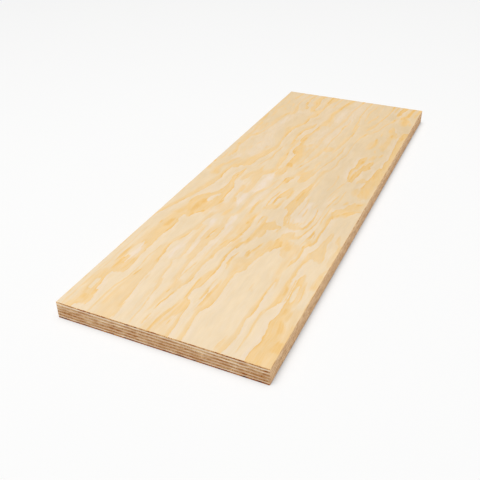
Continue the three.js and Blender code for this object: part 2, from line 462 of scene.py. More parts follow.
    gold(0.78, RIGHT, (166, 113.8, 117), (176, 114.6, 119.7), (212, 115, 119.3), (218, 116, 118.5)),
    wash(1.1, (122, 107, 109.8), (129, 106.8, 110), (135, 107.3, 109.3)),
    wash(1.1, (161, 114, 117.5), (167, 114.6, 118.3), (175, 115.3, 118.3)),
    gold(0.85, LEFT, (199, 112.3, 114), (207, 111.3, 113.5), (214, 112, 115), (219, 113, 117)),
    gold(0.72, RIGHT, (57, 116, 117.5), (67, 114.8, 119.6), (81, 116, 118)),
    wash(0.6, (80, 115.7, 118), (96, 116.5, 118.3)),
    # line at 150 to 320 along, 92 to 109 across
    wash(0.38, (148, 91, 97), (190, 92, 101), (210, 92, 100), (230, 92, 97), (246, 93, 97)),
    wash(0.9, (138, 93.8, 96.2), (156, 95.7, 98.3), (163, 97.3, 99.8)),
    gold(0.92, RIGHT, (144, 99.8, 101.5), (180, 103, 107.2), (191, 102.5, 107.7), (197, 100, 105.4),
        (218, 101.3, 104.6)),
    wash(1.05, (190, 100, 104), (195, 100, 105.3), (203, 101.3, 105.3)),
    gold(0.8, LEFT, (214, 97, 99.5), (232, 95, 98), (247, 96, 98.5)),
    wash(0.4, (238, 95.7, 99.3), (256, 98, 100.7), (270, 99, 101), (280, 100, 102)),
    gold(0.66, LEFT, (274, 99.7, 101.5), (282, 100.2, 103.5), (292, 101.2, 104.2), (303, 101.8, 105.2)),
    gold(0.95, LEFT, (216, 96.7, 98.6), (226, 96, 98.2), (233, 95.7, 97.6)),
    gold(0.8, BOTH, (299, 102.2, 104.5), (303, 102, 107.8), (314, 103.5, 109.7), (319, 106.5, 109.5)),
    gold(1.05, BOTH, (301, 103.5, 105.5), (306, 102.7, 106.5), (312, 103.3, 105.8)),
    wash(0.5, (318, 106, 112), (326, 108, 117), (336, 109, 119), (350, 113, 119), (359, 117, 119)),
    gold(0.62, BOTH, (306, 121, 122), (309, 118.5, 125.7), (316, 118, 127.3), (325, 116.5, 129.2),
        (333, 118, 129.7), (340, 121, 128.7)),
    wash(0.45, (326, 116, 129), (350, 123, 129), (358, 124, 128)),
    # long soft band at 100 to 122 across, 355 to 600 along
    gold(0.4, RIGHT, (352, 100, 101.5), (360, 101, 105), (372, 103, 106.5), (390, 102, 107),
        (400, 102.5, 107.5), (412, 101.5, 108.5), (450, 103, 109), (515, 111, 117), (530, 112.5, 117.3),
        (550, 112.5, 117), (590, 117, 122), (601, 118, 124)),
    wash(0.75, (588, 117.5, 121.5), (595, 118, 123), (601, 118, 124)),
    wash(1.05, (347, 105.5, 108), (351, 105.8, 109), (356, 107, 109)),
    gold(0.55, RIGHT, (338, 102.5, 105), (348, 104.5, 108.5), (354, 107, 109.3), (366, 110, 113.2),
        (380, 111, 117), (395, 113, 119.2), (404, 114.5, 120.3), (425, 118, 120), (440, 117, 119.7),
        (452, 118.7, 121.2), (475, 120.3, 122.7), (490, 119, 121.2), (502, 120, 122)),
    wash(0.38, (484, 121, 122.5), (500, 122, 125.3), (515, 122.3, 125), (526, 121, 122.7)),
    gold(0.52, BOTH, (402, 122, 125), (407, 120.5, 128), (413, 120, 130), (419, 122, 128)),
    gold(0.52, RIGHT, (404, 131, 133), (415, 130, 135.3), (452, 132, 139.3), (473, 137, 141), (495, 137, 140),
        (506, 138, 140)),
    gold(0.85, RIGHT, (462, 137.3, 140.2), (471, 137.3, 141), (480, 137.5, 140.3)),
    gold(0.5, RIGHT, (482, 134.5, 136), (515, 132, 135.5), (525, 132.5, 135), (532, 131, 133.5),
        (545, 129.7, 132.3), (580, 130.7, 133.6), (601, 131.5, 135)),
    # big deep flame at 341 to 480 along, 80 to 104 across
    gold(0.8, LEFT, (340, 95, 97.5), (346, 91.5, 98), (362, 90, 104), (381, 90, 104), (384, 84, 104),
        (402, 82, 99), (410, 83.5, 97), (414, 84, 90), (428, 79.5, 90.3), (437, 79.5, 90), (456, 85, 90.3),
        (470, 86.5, 91.7), (482, 88, 92)),
    gold(1.1, BOTH, (342, 92.5, 96.5), (347, 91.3, 96), (355, 90, 94)),
    gold(1.05, LEFT, (380, 89, 96), (383, 85, 96), (388, 83.5, 95), (392, 84, 90)),
    wash(0.95, (418, 82.5, 87.5), (427, 80.5, 88.5), (436, 81, 88.5), (443, 84, 87)),
    gold(0.4, BOTH, (408, 97, 99.5), (414, 95.5, 100), (420, 98, 99.5)),
    wash(0.62, (460, 90, 92), (470, 88.5, 93.3), (482, 89, 93)),
    wash(0.52, (478, 87, 92), (487, 84.5, 100.5), (500, 85.5, 102), (510, 88, 100.5), (520, 88, 99.5),
        (530, 86, 98.5), (540, 87, 99.5), (550, 90.5, 100.5), (560, 91.5, 101), (572, 93, 104.5),
        (580, 96, 106.5), (601, 98, 110)),
    wash(0.75, (548, 94.5, 99.5), (580, 97, 102.5), (594, 99, 105)),
    gold(0.42, RIGHT, (484, 99, 101.5), (500, 99, 102), (512, 98.7, 100.5)),
    wash(0.42, (552, 84, 85.7), (560, 82, 86.3), (590, 84, 89), (601, 85, 91)),
    wash(0.32, (498, 74, 75.7), (508, 75, 79.3), (516, 76.5, 79.7)),
    # bands at 60 to 83 across, 325 to 600 along
    gold(0.55, RIGHT, (322, 72, 84), (330, 76, 86), (334, 77, 83.7), (345, 75, 82.7), (363, 73, 82.7),
        (372, 74, 81.2), (385, 73, 79.3), (410, 73, 78.3), (422, 74, 78.7)),
    gold(0.85, RIGHT, (370, 77, 81), (377, 76.3, 80.3), (384, 75.5, 79.3)),
    gold(0.62, RIGHT, (316, 76, 80), (323, 76.5, 80.5), (330, 77.5, 80.7)),
    gold(0.5, BOTH, (311, 88, 90), (315, 85.5, 93.3), (330, 86, 95), (335, 87, 93.7)),
    gold(0.8, RIGHT, (317, 91.5, 94), (324, 92, 95.2), (332, 91.5, 94.3)),
    gold(0.62, RIGHT, (350, 60, 65), (357, 61, 66), (366, 62, 65.3), (375, 62, 65), (385, 63, 66),
        (400, 64.3, 66)),
    gold(0.62, RIGHT, (329, 57, 58.7), (346, 59, 61.3), (353, 61, 62.7)),
    wash(0.4, (398, 67, 68.7), (403, 66.3, 69), (410, 67, 68)),
    gold(0.75, RIGHT, (404, 71, 72.7), (432, 68.7, 72.7), (442, 67, 73.2), (461, 69, 75.3), (467, 70.5, 79.7),
        (475, 72, 81.7), (481, 76.5, 82.3), (489, 80, 82.3)),
    gold(0.95, RIGHT, (434, 69.7, 72.5), (444, 69.5, 73.2), (456, 70.3, 74)),
    wash(0.5, (418, 75.3, 78), (424, 75, 78.3), (430, 75.7, 77.5)),
    gold(0.9, RIGHT, (424, 53, 56.7), (448, 52, 57), (456, 54, 58)),
    gold(0.52, RIGHT, (465, 60.3, 62.3), (474, 59.7, 63.7), (484, 61, 66.7), (494, 60, 67.3), (503, 60, 66.3),
        (510, 58, 70.5), (517, 60, 73.7), (525, 60, 74), (533, 59, 72.5), (540, 66, 74), (552, 69, 73.3),
        (570, 66.5, 75.3), (585, 66.5, 75.3), (601, 66, 78)),
    gold(0.9, RIGHT, (478, 61.5, 65), (486, 62.3, 66.5), (496, 63.5, 66.8), (504, 63, 66)),
    wash(0.72, (512, 68, 73), (520, 69, 73.7), (530, 69.5, 72.7)),
    wash(0.78, (566, 68, 74), (590, 69, 74.7), (601, 68, 77)),
    # thin flame across 116 to 140, near half
    gold(0.64, RIGHT, (0, 123, 129), (40, 121, 125.7), (52, 122, 130.7), (62, 122.3, 131.7),
        (100, 123.3, 129.7), (104, 122.3, 129.7), (114, 118.3, 135.7), (124, 116, 136.7), (132, 116.5, 138.2),
        (136, 129, 138.7), (142, 130, 139.8), (150, 130, 140), (154, 131, 145), (162, 133, 148.5),
        (166, 134, 152), (172, 136.5, 153.5), (178, 139.5, 155.5), (182, 144, 152), (184, 146, 149.5)),
    gold(0.8, RIGHT, (42, 123, 127), (56, 124.5, 131), (66, 125, 131.3)),
    gold(0.82, LEFT, (44, 121.5, 124), (62, 122.3, 125), (88, 123.3, 124.7)),
    gold(0.85, LEFT, (113, 118, 119.5), (122, 115.4, 117.7), (132, 115.8, 117.8), (142, 117.3, 119)),
    gold(0.8, BOTH, (136, 125.5, 127.5), (140, 124.2, 128.3), (150, 125.7, 127)),
    gold(0.9, LEFT, (148, 130, 132), (156, 131.5, 133.7), (164, 133, 135)),
    gold(0.98, RIGHT, (153, 139, 145.5), (160, 138, 147), (166, 139, 151), (174, 141, 150), (181, 144, 149)),
    wash(1, (172, 140, 146), (178, 143, 146.5), (183, 144.5, 146.3)),
    wash(0.7, (157, 156, 162), (163, 151, 170), (170, 150, 169), (176, 150, 163), (181, 149, 157)),
    gold(0.46, BOTH, (147, 162.3, 166), (149, 160.7, 168.5), (170, 155, 170.5), (180, 158, 169)),
    # the swirl, 186 to 300 along, 118 to 180 across
    gold(0.7, BOTH, (174, 122, 125), (178, 118.7, 127), (186, 118, 128.3), (191, 119, 127), (193, 119, 133),
        (197, 118.5, 134), (201, 118.5, 139.7), (204, 119, 137), (207, 123, 133), (213, 127.5, 129)),
    gold(0.55, BOTH, (184, 147, 160), (190, 146, 159), (198, 151, 157), (201, 153, 155.5)),
    wash(0.55, (189, 136, 141), (195, 136, 140), (200, 137, 140)),
    gold(0.85, RIGHT, (185, 158, 163), (190, 160, 165), (197, 163.5, 166), (206, 165.5, 168),
        (214, 167.6, 170), (232, 169.8, 171), (244, 169.4, 170.5)),
    gold(0.5, BOTH, (203.5, 147, 155), (205, 144, 158.5), (211, 139.5, 162.5), (213, 138.5, 148),
        (215, 141, 145)),
    gold(0.72, BOTH, (207, 139.3, 141.3), (213, 137.3, 140.8), (222, 135, 140), (237, 134, 139.3),
        (241, 130, 139.4), (245, 128, 139.5), (270, 130, 141.2), (282, 131, 139.8), (314, 136.3, 138.7)),
    wash(0.95, (220, 135.5, 139), (228, 134.7, 138.7), (238, 135.3, 138.5)),
    wash(0.92, (258, 131, 137.5), (282, 131, 138), (293, 133.5, 138.5)),
    gold(0.75, LEFT, (211, 144.6, 146), (217, 142.2, 144), (230, 139.9, 141.4)),
    wash(0.55, (214, 146.8, 148.4), (219, 145.3, 147), (226, 143.7, 145.3)),
    wash(0.65, (210, 147.3, 149.3), (214, 148.4, 151), (218, 149.7, 151.5)),
    wash(0.7, (212, 151.5, 153.3), (216, 151, 153.8), (220, 151.3, 153)),
    wash(0.65, (211, 153.7, 155.5), (216, 155, 157), (221, 155.7, 157.3)),
    wash(0.45, (217, 157, 158.8), (223, 158, 160), (229, 158.5, 160)),
    gold(0.82, BOTH, (207, 159.8, 161.6), (214, 161.1, 163.4), (226, 163.1, 165.7), (231, 164.2, 166),
        (241, 164.1, 165.6), (259, 162.4, 163.7)),
    wash(1.05, (217, 162, 165), (224, 162.9, 165.5), (231, 164, 166)),
    wash(0.6, (232, 145.7, 147.8), (250, 146.5, 148.6), (262, 146.2, 148.7), (272, 144.5, 147),
        (282, 144, 146)),
    wash(0.65, (228, 151, 153.7), (238, 150.7, 153.7), (256, 151, 152.3)),
    wash(0.62, (249, 156.7, 158.5), (260, 157, 159.3), (269, 159, 160.7)),
    wash(0.45, (240, 169.2, 170.8), (262, 169.6, 171.2)),
    gold(0.68, LEFT, (260, 169.7, 171.2), (268, 170.2, 172.3), (288, 173, 175.5), (296, 174.5, 176.7)),
    wash(0.85, (220, 174.2, 176.2), (240, 173.4, 175.6), (269, 174.3, 176)),
    wash(0.7, (266, 174.4, 176.3), (283, 177.7, 179.7), (300, 178, 180), (313, 179, 180.7)),
    wash(0.55, (279, 163.5, 165.2), (316, 168, 170.3), (338, 172.3, 174.5)),
    wash(0.5, (275, 166.6, 168.3), (300, 169.2, 171), (314, 170.8, 172.5)),
    wash(0.55, (297, 157.3, 159), (310, 158.3, 160.3), (322, 160, 161.8), (335, 159.7, 161.7),
        (343, 157, 161), (350, 154.3, 157.3)),
    wash(0.4, (280, 140, 142), (320, 142, 144), (338, 142.3, 144)),
    # flame round an eye at 232 to 292 along, 104 to 126 across
    gold(0.5, BOTH, (230, 110.5, 112), (236, 106.5, 115), (240, 108, 120), (246, 110, 121.3),
        (266, 110.7, 118.5), (274, 112, 121), (287, 116, 121.3), (291, 118.5, 120)),
    pale(0.95, BOTH, (245, 113, 115.7), (250, 112.6, 118), (262, 113, 119.4), (276, 118.6, 119.8)),
    gold(1, BOTH, (246, 111.5, 112.5), (252, 110.7, 113), (261, 110.4, 113), (268, 111.4, 114.2)),
    gold(0.75, LEFT, (262, 110.8, 114), (270, 111.8, 116.5), (280, 114, 118.5), (288, 116.5, 120)),
    wash(0.85, (237, 116, 120.8), (246, 116.3, 121.5), (256, 118.5, 121.3)),
    gold(0.62, BOTH, (234, 106.5, 108), (246, 105, 106.9), (258, 105.4, 107.3), (264, 106.4, 108.9),
        (279, 107.9, 109.2)),
    wash(0.8, (260, 119.3, 124.5), (272, 120, 125.5), (284, 119, 124.5), (291, 119, 121)),
    wash(0.6, (237, 127, 129.5), (248, 127.2, 129.4), (258, 128.3, 130)),
    # lines at 355 to 480 along, 123 to 157 across
    wash(0.45, (296, 136, 140), (330, 135.7, 140.3), (345, 137.7, 143.3), (358, 143, 146.3)),
    gold(0.52, RIGHT, (352, 142, 145), (358, 144, 147), (372, 146, 149.3), (382, 145.3, 148),
        (400, 148, 151.5), (407, 149.5, 152), (415, 149.3, 151.3), (445, 149, 151), (452, 149.7, 152),
        (465, 150.3, 152.7), (474, 151, 156), (480, 153, 159), (486, 155.5, 158)),
    wash(0.78, (470, 153, 157), (477, 153.3, 158.3), (484, 155, 158)),
    gold(0.62, RIGHT, (328, 128.7, 130.5), (372, 133.7, 137), (380, 136, 140), (400, 139.3, 142),
        (410, 140.3, 143.7), (420, 140.3, 142.7), (431, 141, 142.3)),
    wash(0.48, (352, 124, 127), (360, 122.7, 127.7), (368, 124, 129), (377, 124, 128)),
    wash(0.38, (380, 125, 129), (390, 125, 130.5), (398, 127, 130)),
    wash(0.45, (522, 141, 143.3), (560, 138.3, 142.3), (580, 141.7, 146), (590, 143.3, 147), (601, 145, 149)),
    gold(0.55, RIGHT, (490, 151.5, 154), (497, 151, 158.5), (503, 151, 160), (512, 155.5, 161.7),
        (525, 159.3, 162.3), (540, 161.7, 165), (550, 164, 167), (580, 166.7, 170), (601, 166, 171)),
    wash(0.85, (586, 166.5, 170), (595, 166, 170.5), (601, 166, 171)),
    gold(0.52, RIGHT, (484, 161.7, 164), (492, 162.7, 167.3), (498, 165.7, 170), (530, 173.7, 177),
        (537, 175.7, 181), (552, 178, 183)),
    wash(0.75, (538, 178, 181.7), (545, 178.7, 183), (551, 180, 183)),
    wash(0.45, (514, 148, 150), (525, 146.7, 152.3), (535, 149.7, 155.3), (550, 153, 157), (561, 154, 156.3)),
    wash(0.3, (560, 151, 153), (580, 151.3, 153.7), (601, 151, 154)),
    # bands at 158 to 186 across, near half
    gold(0.6, RIGHT, (0, 160, 165.7), (10, 160.5, 168.2), (30, 164, 170), (50, 163.5, 167.2),
        (54, 163.5, 169.7), (62, 163, 170.2), (85, 166, 169.3), (110, 167, 169.7), (119, 168, 169.7)),
    gold(0.96, RIGHT, (54, 166.5, 169.5), (64, 167, 170.2), (84, 166.3, 169.3), (96, 167, 169.3)),
    gold(0.5, LEFT, (2, 160, 162), (10, 160.3, 162.3), (18, 161.5, 163.5)),
    wash(0.62, (2, 176, 178), (15, 175.7, 178), (30, 176, 179), (45, 174.3, 178.3), (60, 173.7, 178.3),
        (70, 175, 180)),
    gold(0.76, RIGHT, (66, 175.3, 178), (72, 177, 182), (88, 178, 184.8), (114, 178.7, 182.5),
        (129, 179, 184), (158, 180.7, 183.5)),
    gold(1.05, RIGHT, (90, 182.3, 184.7), (99, 182.2, 184.4), (112, 180.3, 182.6)),
    wash(0.45, (98, 172, 173.7), (108, 170.7, 173.3), (119, 170.3, 172.3)),
    wash(0.32, (104, 165, 170), (120, 164, 170), (136, 165, 170)),
    gold(0.78, RIGHT, (136, 170, 172), (148, 170.5, 176), (156, 173, 176.8), (174, 172, 176),
        (180, 172.8, 178.5), (186, 173.5, 178.3), (189, 175, 177.5)),
    wash(0.9, (141, 170, 173), (147, 170, 173.7), (154, 171.3, 173.5)),
    wash(0.98, (171, 172.3, 174.6), (176, 172.3, 175), (183, 173.3, 176)),
    wash(0.6, (172, 170, 171.7), (182, 170, 172.3), (190, 171.3, 174)),
    gold(1, BOTH, (190, 172.3, 174.5), (196, 172.7, 175.8), (213, 173.8, 175)),
    gold(0.95, RIGHT, (181, 179, 181), (193, 179, 183.2), (202, 179, 182.2), (224, 179.3, 183.3),
        (235, 178, 182.6), (251, 179.7, 183)),
    gold(0.7, LEFT, (243, 184, 188), (246, 182, 190.3), (252, 180.5, 196), (263, 182, 201.5),
        (268, 188, 206.5), (272, 190, 211), (285, 196, 212), (288, 200, 212)),
    gold(0.9, BOTH, (252, 191, 196), (258, 193.5, 199.3), (263, 197, 201.3), (269, 201, 207)),
    wash(0.8, (246, 183, 189), (251, 183, 191), (258, 184, 190)),
    wash(0.9, (279, 196, 204), (284, 197, 209), (287, 200, 210)),
    wash(0.62, (274, 183.5, 186), (280, 183.7, 191), (285, 185.5, 191), (289, 187.3, 189.3)),
    wash(0.5, (266, 189, 191), (275, 190.5, 192.3), (283, 190, 192)),
    gold(0.55, BOTH, (155, 197, 199.7), (159, 189, 200.2), (170, 184, 199), (175, 186, 197.7),
        (192, 189, 194.7), (200, 190.3, 196.3), (208, 191.3, 196.3), (216, 192.5, 195)),
    gold(0.58, RIGHT, (146, 181.3, 184), (152, 181.3, 186.2), (160, 181.3, 187), (169, 182, 185.7)),
    wash(0.5, (160, 207, 212), (175, 204.5, 212), (190, 205, 212), (198, 199.5, 207), (206, 199.5, 205.5),
        (214, 201, 204)),
    wash(0.45, (118, 206, 209), (130, 204.3, 209), (142, 206, 209.5), (152, 208, 211)),
    wash(0.55, (74, 208, 212), (90, 208, 212), (120, 208.5, 212)),
    # big near corner flame
    gold(0.88, LEFT, (0, 187, 212), (12, 187, 212), (26, 190, 212), (50, 188, 211.7), (54, 187.5, 206.5),
        (67, 190.3, 203), (75, 190.3, 202.7), (80, 190.3, 200.7), (92, 190, 200.3), (123, 189, 196.3),
        (131, 191.7, 195)),
    wash(0.95, (62, 191, 198), (70, 191, 199), (80, 191, 197)),
    wash(0.9, (36, 195, 207), (50, 193, 205), (64, 192, 201)),
    wash(0.9, (0, 196, 199.5), (10, 196.5, 199.5), (22, 197, 199.5)),
    gold(0.65, RIGHT, (84, 196, 199.3), (94, 196, 200), (106, 195.3, 199), (116, 193.7, 197)),
    pale(1.0, BOTH, (85, 194, 195), (90, 191.7, 196), (106, 192, 194.7), (111, 193, 194)),
    # flames at 300 to 350 along near the right long edge
    wash(0.48, (297, 192, 202), (304, 184, 202), (312, 181.5, 202), (318, 185, 200), (323, 192, 200)),
    wash(0.5, (313, 184, 192), (318, 185, 194), (322, 189, 193)),
    gold(0.52, BOTH, (330, 183.7, 186), (337, 184, 190), (340, 185, 196.5), (345, 187, 196),
        (348.5, 188.5, 191.5)),
    gold(0.82, LEFT, (298, 198, 206), (303, 195, 211), (310, 196, 212), (325, 194.5, 212), (350, 196.5, 212),
        (358, 198.5, 212), (370, 198.5, 212), (386, 202.5, 212), (402, 201.7, 212), (410, 203.5, 212),
        (480, 201.3, 212), (490, 203.7, 212), (501, 204.7, 212), (508, 209, 212)),
    gold(0.95, LEFT, (344, 196, 203), (356, 198.5, 205), (370, 198.7, 204), (376, 200.5, 203)),
    wash(0.9, (470, 202, 206.5), (482, 203, 208), (496, 205, 210)),
    gold(0.92, LEFT, (335, 172, 174.3), (352, 168.7, 173.3), (369, 168, 173.3), (373, 170, 177),
        (380, 171, 177.3), (400, 170.3, 181.3), (405, 172.7, 180.3), (409, 175.7, 178)),
    wash(1.05, (384, 172, 178.5), (394, 172, 180), (402, 174, 179.5)),
    gold(0.82, BOTH, (332, 176.5, 178.7), (340, 174.7, 179.3), (356, 175.3, 181.3), (368, 177, 182),
        (371, 178, 187), (375, 179, 190), (379, 179, 189.7), (382, 180, 187.7), (388, 182, 189.3),
        (396, 185, 189.3), (400, 186.5, 188)),
    gold(1.2, RIGHT, (350, 177.5, 181), (356, 178.3, 181.5), (362, 179, 181.3)),
    pale(0.8, NONE, (369, 176.5, 178), (377, 175.7, 178.7), (386, 177, 179.7), (394, 179, 180.3)),
    wash(0.55, (398, 180, 183), (405, 179, 188.7), (412, 180, 190.5), (420, 184, 189.5)),
    wash(0.68, (410, 189, 191.3), (416, 189.7, 194.3), (424, 191.7, 196), (429, 193.7, 195.3)),
    wash(0.5, (420, 182.5, 185.3), (427, 180, 184.3), (435, 179.7, 182.3)),
    wash(0.72, (428, 172, 174.3), (434, 170, 176.3), (450, 170.7, 181), (468, 171.3, 177.3), (473, 172, 175)),
    wash(0.92, (459, 171.5, 175.5), (466, 172, 176.5), (471, 173, 175.3)),
    gold(0.58, RIGHT, (433, 187, 189.7), (440, 182.7, 190.7), (450, 180, 192), (475, 184.7, 191.3),
        (480, 184.7, 194.3), (498, 182.7, 196), (502, 181, 191), (512, 181.3, 189.3), (519, 183, 186)),
    wash(0.8, (476, 186, 193), (485, 186.3, 194.7), (496, 185.5, 195)),
    wash(0.6, (497, 181, 189.7), (506, 180.3, 189), (514, 182, 187)),
    wash(0.45, (476, 176, 178.7), (486, 175.3, 178.3), (496, 175, 177)),
    wash(0.5, (476, 195.5, 198.3), (484, 195.7, 199), (492, 196.7, 201)),
    wash(0.4, (488, 198, 203), (498, 199, 206), (508, 201, 206)),
    wash(0.62, (526, 193, 201), (540, 186, 206), (548, 186.7, 206), (556, 185.7, 201), (562, 185.3, 199),
        (570, 190.7, 199.7), (580, 191.7, 200), (601, 194, 204)),
    wash(0.85, (560, 193, 199.3), (588, 194, 201), (601, 195, 203.5)),
    wash(0.72, (548, 186.5, 192), (556, 186, 192), (563, 185.5, 190)),
    gold(0.7, BOTH, (561, 180.3, 182.3), (568, 179, 184.7), (577, 179.3, 185.3), (601, 182, 190)),
    wash(0.95, (564, 179.5, 184), (572, 179.7, 184.3), (580, 180.3, 185)),
    wash(0.52, (568, 173, 175), (585, 172.7, 176), (601, 174, 178.3)),
    wash(0.52, (560, 205, 207.3), (572, 202.3, 207.3), (585, 203, 210), (601, 204, 212)),
    wash(0.45, (530, 203, 206), (538, 202, 207), (548, 204, 206)),
    wash(0.35, (85, 152, 154), (95, 151.3, 153.5), (103, 151.7, 153)),
    wash(0.35, (82, 155, 156.5), (92, 153.5, 156.3)),
    # soft washes of gold
    wash(0.55, (-8, 198, 218), (25, 199, 218), (64, 203, 216)),
    wash(0.55, (142, 102, 111), (155, 103, 112), (169, 104, 112)),
    wash(0.75, (152, 111, 120), (168, 113, 123), (188, 114, 123)),
    wash(0.6, (148, 135, 144), (165, 135, 146), (180, 137, 144)),
    wash(0.45, (165, 98, 106), (190, 97, 106), (222, 97, 105)),
    wash(0.3, (216, 176, 183), (232, 176, 184), (252, 176, 183)),
    wash(0.5, (332, 134, 143), (344, 134, 144), (356, 136, 143)),
    wash(0.6, (106, 201, 211), (122, 202, 212), (142, 203, 212)),
    wash(0.45, (203, 54, 64), (215, 53, 66), (228, 55, 65)),
    wash(0.65, (196, 67, 76), (208, 67, 77), (222, 70, 78)),
    wash(0.5, (56, 82, 91), (66, 82, 92), (80, 84, 91)),
    wash(0.65, (56, 194, 203), (68, 195, 204), (80, 197, 203)),
    wash(0.45, (10, 36, 44), (45, 37, 45), (80, 39, 45)),
    wash(0.5, (2, 4.5, 7.5), (40, 5, 8), (56, 6.5, 9.5)),
    wash(0.4, (318, 23, 33), (330, 24, 35), (345, 28, 34)),
    wash(0.5, (436, 180, 196), (460, 182, 197), (486, 184, 195)),
    wash(0.4, (445, 44, 52), (455, 44, 53), (468, 46, 52)),
    wash(0.4, (555, 48, 57), (567, 47, 57), (582, 49, 56)),
    wash(0.4, (578, 73, 83), (592, 73, 84), (605, 74, 84)),
    wash(0.4, (426, 165, 175), (445, 166, 176), (465, 168, 175)),
    wash(0.4, (115, 163, 172), (140, 162, 173), (162, 163, 171)),
    wash(0.6, (312, 86, 95), (335, 87, 97), (360, 89, 97)),
    wash(0.4, (148, 203, 212), (162, 203, 213), (178, 204, 213)),
    wash(0.4, (430, 8, 19), (450, 9, 21), (470, 12, 20)),
    wash(0.35, (92, 38, 48), (112, 38, 49), (132, 40, 48)),
    wash(0.4, (190, 46, 55), (206, 46, 56), (222, 47, 56)),
    wash(0.4, (372, 95, 105), (390, 96, 106), (408, 97, 105)),
    # a faded place in the first flame
    pale(0.45, NONE, (84, 20, 31), (100, 19, 31), (118, 20, 29)),
    # broader washes of gold
    wash(0.35, (178, 100, 108.5), (200, 101, 109.5), (232, 101, 108)),
    wash(0.55, (330, 192, 216), (352, 194, 216), (378, 196, 216)),
    wash(0.3, (40, 200, 214), (60, 198, 214), (84, 199, 214)),
    wash(0.4, (86, 178, 190), (100, 179, 190), (116, 180, 189)),
    wash(0.3, (-2, 94, 116), (14, 94, 116), (28, 96, 112)),
    wash(0.95, (12, 194, 218), (24, 195, 217), (38, 199, 214)),
    wash(0.8, (8, 11, 28), (16, 10, 29), (27, 11, 27)),
    # the whitest places
    white(0.7, (66, 18, 26), (85, 16, 28), (105, 17, 28), (122, 18, 25)),
    white(0.6, (234, 146, 155), (250, 146, 157), (272, 148, 156)),
    white(0.42, (212, 142, 151), (224, 142, 159), (238, 141.5, 160), (270, 142, 153)),
    white(0.5, (193, 141, 148), (198, 140, 163), (204, 141, 164), (207, 142, 160)),
    white(0.6, (316, 192, 202), (328, 193, 203), (340, 195, 202)),
    white(0.5, (326, 171, 179), (340, 171, 179), (354, 172, 178)),
    white(0.4, (202, 120, 127), (212, 120, 127), (224, 121, 126)),
    white(0.6, (40, 118, 124), (62, 118, 124), (90, 119, 124)),
    white(0.6, (86, 197, 203), (100, 196, 203), (114, 195, 201)),
    white(0.4, (18, 103, 110), (35, 104, 111), (54, 106, 111)),
    white(0.45, (218, 34, 48), (245, 35, 50), (275, 38, 49)),
    white(0.6, (280, 38, 48), (295, 39, 49), (308, 40, 47)),
    white(0.5, (324, 16, 26), (340, 17, 28), (356, 20, 28)),
    white(0.6, (462, 29, 40), (482, 28, 40), (502, 30, 38)),
    white(0.45, (498, 98, 114), (530, 98, 116), (566, 100, 114)),
    white(0.45, (116, 51, 64), (135, 52, 65), (150, 55, 66)),
    white(0.45, (156, 84, 94), (170, 83, 95), (188, 84, 94)),
    white(0.5, (556, 178, 188), (570, 178, 189), (588, 180, 188)),
    white(0.8, (218, 70, 78), (228, 68, 80), (244, 68, 80), (262, 70, 79)),
    white(0.8, (272, 77, 88), (290, 75, 92), (308, 76, 92), (322, 78, 90)),
    white(0.7, (175, 64, 69), (183, 62, 70), (195, 63, 70)),
    white(0.7, (172, 82, 88), (186, 80, 90), (200, 80, 90), (210, 82, 88)),
    white(0.7, (100, 54, 60), (112, 52, 62), (124, 53, 62), (134, 55, 60)),
    white(0.35, (96, 78, 88), (125, 77, 90), (155, 78, 89)),
    white(0.75, (258, 75, 82), (272, 75, 90), (300, 74, 92), (314, 75, 90), (322, 78, 87)),
    white(0.45, (226, 86, 95), (245, 87, 97), (262, 88, 98), (278, 92, 100)),
    white(0.4, (415, 2, 18), (435, 3, 18), (456, 6, 20)),
    white(0.3, (350, 24, 58), (390, 18, 58), (430, 18, 48), (470, 22, 44), (530, 26, 60)),
    white(0.35, (425, 104, 128), (500, 104, 132), (602, 104, 134)),
    white(0.55, (112, 70, 75), (146, 67.5, 73.5), (165, 67, 72), (190, 62, 72)),
    white(0.45, (114, 80.5, 89), (136, 81.5, 90), (152, 84, 91), (168, 84, 92)),
    white(0.5, (154, 168.5, 173), (170, 169, 172.7), (186, 169.5, 173)),
    white(0.3, (196, 16, 80), (240, 12, 84), (290, 22, 92)),
    white(0.2, (400, 70, 132), (480, 50, 134), (540, 20, 124), (610, 0, 112)),
    # greyer wood beside the knot
    dull(0.4, (240, 142, 176), (300, 140, 180), (350, 136, 178), (400, 134, 172)),
    dull(0.3, (330, 124, 176), (390, 126, 172), (450, 136, 170)),
    dull(0.45, (540, 160, 186), (575, 160, 186), (606, 158, 186)),
    # and darker, greyer patches towards the right long edge
    dull(0.42, (260, 150, 232), (330, 150, 238), (400, 152, 240), (470, 160, 242), (540, 176, 240)),
    dull(0.34, (120, 94, 142), (180, 96, 150), (236, 106, 166), (286, 124, 170), (330, 140, 180)),
    dull(0.3, (180, 150, 236), (215, 150, 240), (256, 156, 236)),
)


